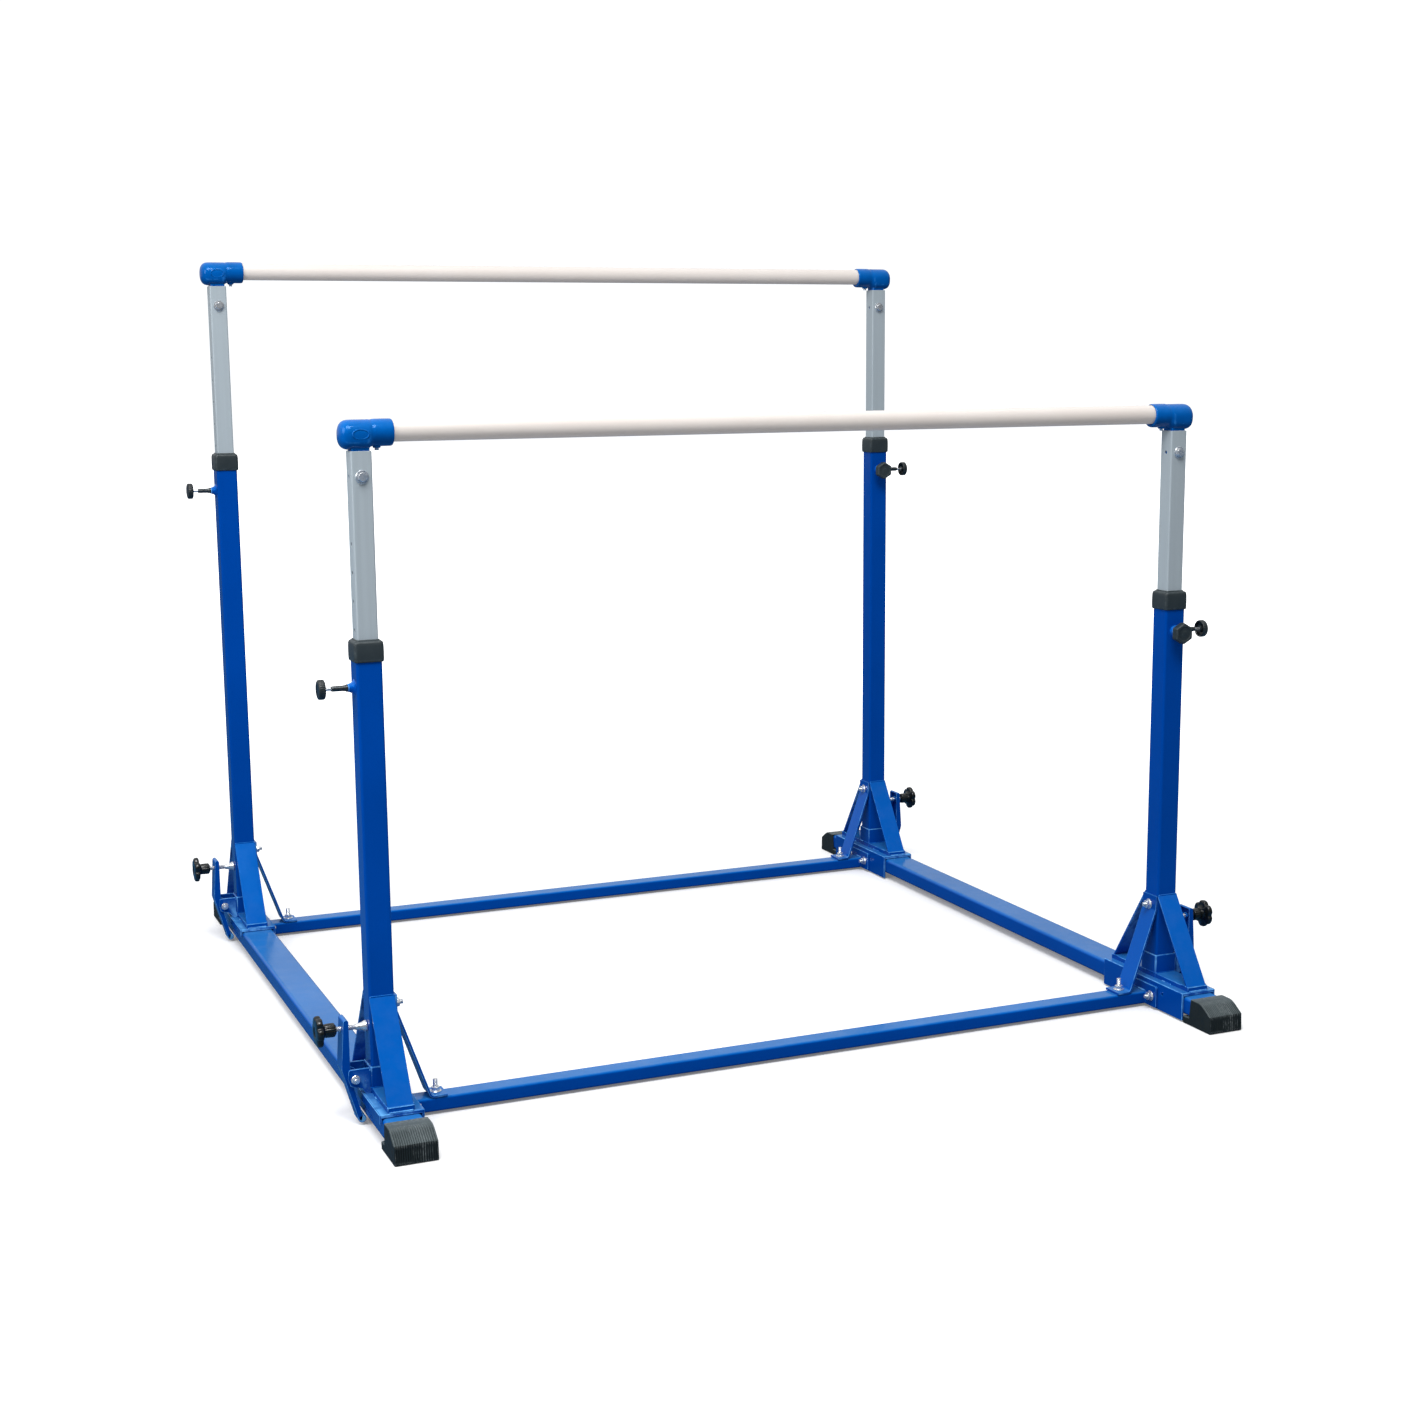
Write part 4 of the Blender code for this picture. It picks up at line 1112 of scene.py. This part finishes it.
def lever_flange(side):
    """One side wall of the channel, with the ear for the pivot and the hook for the jaw."""
    x, z = PIVOT.x, PIVOT.z
    corners = [(LEVER_TOP[0], 0.2085), LEVER_BEND, LEVER_TIP]
    corners += [(0.0466, 0.0068), (0.0440, 0.0190), (0.0462, 0.0300)]
    corners += [(x + 0.0035, z - 0.0135), (x - 0.004, z - 0.0100), (x - 0.0105, z - 0.003)]
    corners += [(x - 0.0085, z + 0.0085), (LEVER_INNER, 0.113), (LEVER_INNER, 0.2085)]
    outline = rounded_path(corners, 0.0035, closed=False) + lever_head()[8:0:-1]
    low, high = sorted((-side * 0.0205, -side * 0.0170))
    return moved(plate(outline, low, high, 0.0007), FROM_XZ)


def build_lever():
    """The pressed channel that grips the beam, with its round jaw. Corner axes."""
    path = rounded_path([LEVER_TIP, LEVER_BEND, (LEVER_TOP[0], 0.2087)], 0.014, closed=False, step=6)
    path += lever_head()[1:8]
    web = moved(plate(ribbon(path, 0.0035), -0.0195, 0.0195, 0.0007), FROM_XZ)
    ends = [(0.0062, -0.0205), (0.0076, -0.0198), (0.0080, -0.0185)]
    jaw = turned(ends + [(r, -y) for r, y in reversed(ends)], 40)
    jaw = moved(jaw, TO_Y, offset(0.0448, z=0.0138))
    nut = moved(hex_solid(0.0170, 0.0055, True), TO_X, offset(0.0664, z=SCREW_Z))
    shells = []
    for side in (-1, 1):
        cutter = moved(rod(0.0044, -0.04, 0.04), TO_Y, offset(PIVOT.x, z=PIVOT.z))
        shells.append(solid([lever_flange(side)], [cutter]))
    for shell in (web, nut):
        cutter = moved(rod(0.0056, 0.05, 0.10, 28), TO_X, offset(z=SCREW_Z))
        shells.append(solid([shell], [cutter]))
    return finished("lever", group(shells + [jaw]), "blue_paint")


def build_clamp_screw():
    """The threaded screw with its flared pressure foot, along X from the centre line."""
    screw = thread(0.0050, 0.0007, 0.0015, 0.0400, 0.0985, 32)
    foot = [(6.0, 25.6), (10.4, 25.9), (10.9, 27.0), (10.8, 29.4), (9.8, 31.6), (8.4, 34.5)]
    foot += [(7.2, 38.5), (6.4, 43.0), (6.0, 46.5), (5.2, 48.0), (4.0, 48.2)]
    pad = turned(in_metres(foot), 40)
    return finished("clamp_screw", moved(group([screw, pad]), TO_X), "zinc")


def star(angle, radius, _):
    """Radius of the six-lobed knob: round near the axis, lobed at the rim."""
    share = min(1.0, max(0.0, (radius - 0.0150) / 0.0100))
    off = abs(in_sixth(angle)) - radians(30)
    valley = exp(-((off / radians(9.5)) ** 2))
    crown = 0.0006 * cos(6 * angle)
    return radius - share * (0.0036 * valley - crown) * radius / 0.030


def build_star_knob():
    """The glossy six-lobed knob with its ribbed hub, along X from the upright's centre line."""

    def ribbed(angle, radius, _):
        return radius - (0.0006 * (0.5 - 0.5 * cos(18 * angle)) if radius > 0.0132 else 0)

    back = [(5.0, 107.0), (12.6, 107.4), (13.8, 109.4), (16.2, 111.2), (20.0, 112.4)]
    back += [(25.0, 113.0), (28.2, 113.6)]
    rim = [(29.4, 114.6), (29.9, 116.4), (30.0, 119.0), (29.7, 121.6), (28.8, 123.4), (27.2, 124.7)]
    face = [(24.0, 125.5), (20.0, 126.0), (15.0, 126.2), (11.8, 126.1), (11.0, 125.5)]
    face += [(10.4, 124.8), (9.4, 124.7), (5.0, 124.9), (0.8, 125.0)]
    hub = [(5.6, 88.2), (11.8, 88.0), (13.0, 88.8), (13.6, 90.2), (13.7, 98.0), (13.4, 105.0)]
    hub += [(12.8, 108.6), (5.6, 108.6)]
    collar = [(5.2, 85.9), (9.0, 85.9), (10.0, 86.6), (10.0, 88.6), (5.2, 88.6)]
    shells = [turned(in_metres(back + rim + face), 144, star)]
    shells.append(turned(in_metres(hub), 144, ribbed))
    shells.append(turned(in_metres(collar), 40))
    return finished("star_knob", moved(group(shells), TO_X), "black_plastic", 50)


# Rails and braces ----


def rail_reach():
    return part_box("cross_rail_front")[1].x


def build_rail():
    """A cross rail with its end flanges, in row axes."""
    reach = rail_reach()
    tube = square_tube(0.023, 0.0145, 0.005, 0.0025, -reach + 0.001, reach - 0.001)
    tube = moved(tube, TO_X, TO_FRONT, offset(z=RAIL_Z))
    shapes = [tube]
    for side in (-1, 1):
        low, high = sorted((side * reach, side * (reach - 0.005)))
        outline = rounded_path([(-0.062, 0.006), (0.062, 0.006), (0.062, 0.055), (-0.062, 0.055)], 0.004)
        shapes.append(moved(plate(outline, low, high, 0.0009), FROM_YZ))
    return finished("rail", group(shapes), "blue_paint")


def build_rail_welds():
    reach = rail_reach() - 0.0052
    beads = []
    for side in (-1, 1):
        x = side * reach
        ring = [(x, -0.0222, 0.0360), (x, 0.0222, 0.0360), (x, 0.0238, 0.0335), (x, 0.0238, 0.0080)]
        beads.append(swept(ring, 0.0018, ripple=0.13))
        beads.append(swept([(x, -0.0238, 0.0345), (x, -0.0238, 0.0080)], 0.0018, ripple=0.13))
    return finished("rail_welds", group(beads), "blue_paint", 60)


def build_rail_bolts():
    """Bolt heads on the rails' flanges, seen from the inner side."""
    reach = rail_reach() - 0.005
    shapes = []
    for side in (-1, 1):
        for along in (-0.042, 0.042):
            head = moved(nut_end(0.0185, 0.0115, 0.0046, 0.007), TO_X)
            if side > 0:
                head = moved(head, HALF_TURN)
            shapes.append(shifted(head, side * reach, along, 0.030))
    return finished("rail_bolts", group(shapes), "zinc")


def build_brace():
    """The flat stay on the inner side of an upright."""
    face = -0.0253
    foot = 0.0353
    corners = [(-0.124, foot), (-0.0895, foot), (face, 0.221), (face, 0.253)]
    path = rounded_path(corners, 0.012, closed=False, step=8)
    strip = plate(ribbon(path, 0.005), -0.025, 0.025, 0.0012)
    return finished("brace", moved(strip, FROM_XZ), "blue_paint")


def build_brace_bolts():
    skin = -0.0303
    top = moved(nut_end(0.0185, 0.0115, 0.0046, 0.007), TO_X, HALF_TURN)
    top = shifted(top, skin, 0, 0.231)
    bottom = shifted(nut_end(0.0185, 0.0120, 0.0048, 0.016), -0.106, 0, 0.0403)
    return finished("brace_bolts", group([top, bottom]), "zinc")


# Assembly ----


def build_shared():
    """The pieces that are the same at all four towers, under the names they get there."""
    return {
        "saddle_plate": build_saddle(),
        "saddle_welds": build_saddle_welds(),
        "pivot_bolt": build_pivot_bolt(),
        "pin_barrel": build_barrel(),
        "tube_collar": build_collar(),
        "sliding_post": build_inner_post(),
        "holder_moulding": build_holder(),
        "set_screw": build_set_screw(),
        "post_bolt": build_holder_bolt(),
        "pull_knob": build_pull_knob(),
        "pull_shaft": build_pull_shaft(),
        "lever_channel": build_lever(),
        "screw_rod": build_clamp_screw(),
        "lobed_knob": build_star_knob(),
        "brace_strap": build_brace(),
        "brace_bolts": build_brace_bolts(),
    }


def build_tower(corner, shared):
    """All pieces of one tower, each with its body, its place and the CAD node it stands for."""
    row, side = corner.split("_")
    fixed, sliding = f"{row}_frame", f"{row}_bar_unit"
    axes = corner_axes(corner)
    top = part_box(f"upright_{corner}")[1].z
    pin_height = node_middle(f"pull_pin_{corner}").z
    pin = axes @ offset(z=pin_height)
    bar = axes @ offset(z=node_middle(f"bar_{row}").z)
    bolt = bar @ offset(z=-BOLT_DROP) @ spin("Z", 180 if side == "left" else 0)
    screw = axes @ offset(z=SCREW_Z)
    knob = screw @ spin("X", 30 if corner == "front_left" else 0)
    pieces = [
        ("saddle_plate", fixed, axes, "saddle"),
        ("saddle_welds", fixed, axes, None),
        ("outer_tube", fixed, axes, "upright"),
        ("pin_barrel", fixed, pin, None),
        ("tube_collar", fixed, axes @ offset(z=top), "guide_collar"),
        ("pivot_bolt", fixed, axes @ offset(PIVOT.x, z=PIVOT.z), "lever_pivot"),
        ("brace_strap", fixed, axes, "brace"),
        ("brace_bolts", fixed, axes, None),
        ("sliding_post", sliding, bar, "inner_post"),
        ("holder_moulding", sliding, bar, "bar_holder"),
        ("post_bolt", sliding, bolt, "holder_bolt"),
        ("set_screw", sliding, bar @ offset(SET_SCREW_X, z=-0.0290), None),
        ("pull_knob", f"pin_{corner}", pin, "pull_pin"),
        ("pull_shaft", f"pin_{corner}", pin, None),
        ("lever_channel", f"lever_{corner}", axes, "clamp_lever"),
        ("screw_rod", f"screw_{corner}", screw, "clamp_screw"),
        ("lobed_knob", f"knob_{corner}", knob, "star_knob"),
    ]
    meshes = {**shared, "outer_tube": build_upright(top, pin_height, side == "right")}
    for name, body, at, node in pieces:
        put(f"{name}_{corner}", meshes[name], body, at, [f"{node}_{corner}"] if node else ())


def build_rows():
    rail = build_rail()
    welds = build_rail_welds()
    bolts = build_rail_bolts()
    bar = build_bar()
    clamp = build_clamp_knob()
    stud = build_clamp_stud()
    for row in ROWS:
        middle = node_middle(f"bar_{row}")
        floor = offset(0, middle.y)
        put(f"rail_tube_{row}", rail, f"{row}_frame", floor, [f"cross_rail_{row}"])
        put(f"rail_welds_{row}", welds, f"{row}_frame", floor)
        put(f"rail_bolts_{row}", bolts, f"{row}_frame", floor)
        at = offset(y=middle.y, z=middle.z)
        put(f"hand_bar_{row}", bar, f"{row}_bar_unit", at, [f"bar_{row}"])
        pin = node_middle(f"clamp_knob_{row}").z
        at = corner_axes(f"{row}_right") @ offset(z=pin)
        put(f"height_knob_{row}", clamp, f"height_clamp_{row}", at, [f"clamp_knob_{row}"])
        put(f"height_stud_{row}", stud, f"height_clamp_{row}", at)


# Studio ----


def build_floor():
    """A plain white floor that grows brighter outwards, so that it has no horizon."""
    shape = bmesh.new()
    bmesh.ops.create_grid(shape, x_segments=1, y_segments=1, size=30)
    white = (1, 1, 1, 1)
    paint = Paint("studio_floor", Roughness=0.9, Specular_IOR_Level=0.1, Emission_Color=white)
    tone = paint.mix(paint.noise(0.6, 2.0), (0.88, 0.88, 0.88), (0.90, 0.90, 0.90))
    spot = paint.add("TexCoord").outputs["Object"]
    distance = paint.add("VectorMath", {0: spot}, operation="LENGTH").outputs["Value"]
    glow = paint.add("MapRange", {0: distance, 1: 1.2, 2: 4.5, 3: 0.16, 4: 1.1}).outputs[0]
    path = paint.add("LightPath")
    seen = path.outputs["Is Camera Ray"]
    # painted reflection: the floor seen in reflections is dark blue, giving the blue paint's side faces
    # a cyan sheen; other rays see a darker grey floor
    bounce = paint.mix(path.outputs["Is Glossy Ray"], (0.38, 0.38, 0.38), (0.03, 0.13, 0.27))
    tone = paint.mix(seen, bounce, tone)
    glow = paint.maths("MULTIPLY", glow, seen)
    paint.set(paint.shader, {"Base Color": tone, "Emission Strength": glow})
    floor = as_object("studio_floor", shape)
    floor.data.materials.append(paint.material)
    floor.location.z = -0.0002


def build_world():
    """A surround that is bright above, behind and to the left, and dim behind the camera."""
    world = bpy.data.worlds.new("studio")
    bpy.context.scene.world = world
    nodes = Nodes(world)
    direction = nodes.add("TexCoord").outputs["Generated"]
    toward = {0: direction, 1: (-0.08, 0.35, 0.93)}
    dot = nodes.add("VectorMath", toward, operation="DOT_PRODUCT").outputs["Value"]
    scale = nodes.add("MapRange", {0: dot, 1: -0.1, 2: 1.0, 3: 0.10, 4: 1.0}).outputs[0]
    seen = nodes.add("LightPath").outputs["Is Camera Ray"]
    strength = nodes.add("Mix", {0: seen, 2: scale, 3: 1.1}).outputs[0]
    background = nodes.tree.nodes["Background"]
    nodes.set(background, {"Strength": strength, "Color": (0.97, 0.985, 1.0, 1)})


def area_light(name, location, target, size, power):
    light = bpy.data.lights.new(name, "AREA")
    light.shape = "RECTANGLE"
    light.size, light.size_y = size
    light.energy = power
    obj = linked(name, light)
    obj.location = location
    obj.rotation_euler = (Vector(target) - Vector(location)).to_track_quat("-Z", "Y").to_euler()


def build_camera():
    """The camera of the photograph: 23 degrees off the bars' normal, looking slightly down."""
    yaw, pitch, roll = (radians(a) for a in (23.03, -9.68, -0.48))
    forward = Vector((sin(yaw) * cos(pitch), cos(yaw) * cos(pitch), sin(pitch)))
    right = Vector((cos(yaw), -sin(yaw), 0))
    up = right.cross(forward)
    level, plumb = right, up
    right = level * cos(roll) + plumb * sin(roll)
    up = plumb * cos(roll) - level * sin(roll)
    data = bpy.data.cameras.new("camera")
    data.sensor_width = 36.0
    data.lens = 52.07865
    data.clip_start, data.clip_end = 0.1, 100
    camera = linked("camera", data)
    turn = Matrix((right, up, -forward)).transposed().to_4x4()
    camera.matrix_world = offset(-1.800, -4.463, 1.447) @ turn
    bpy.context.scene.camera = camera


def build_studio():
    bpy.context.scene.view_settings.view_transform = "Standard"
    build_floor()
    build_world()
    area_light("key", (-1.5, -3.4, 6.0), (0, 0, 0.7), (3.0, 2.4), 285)
    area_light("side", (-3.2, -1.2, 2.4), (0, 0, 0.8), (1.6, 1.6), 42)
    build_camera()


def main():
    build_base()
    shared = build_shared()
    for corner in CORNERS:
        build_tower(corner, shared)
    build_rows()
    build_studio()


main()
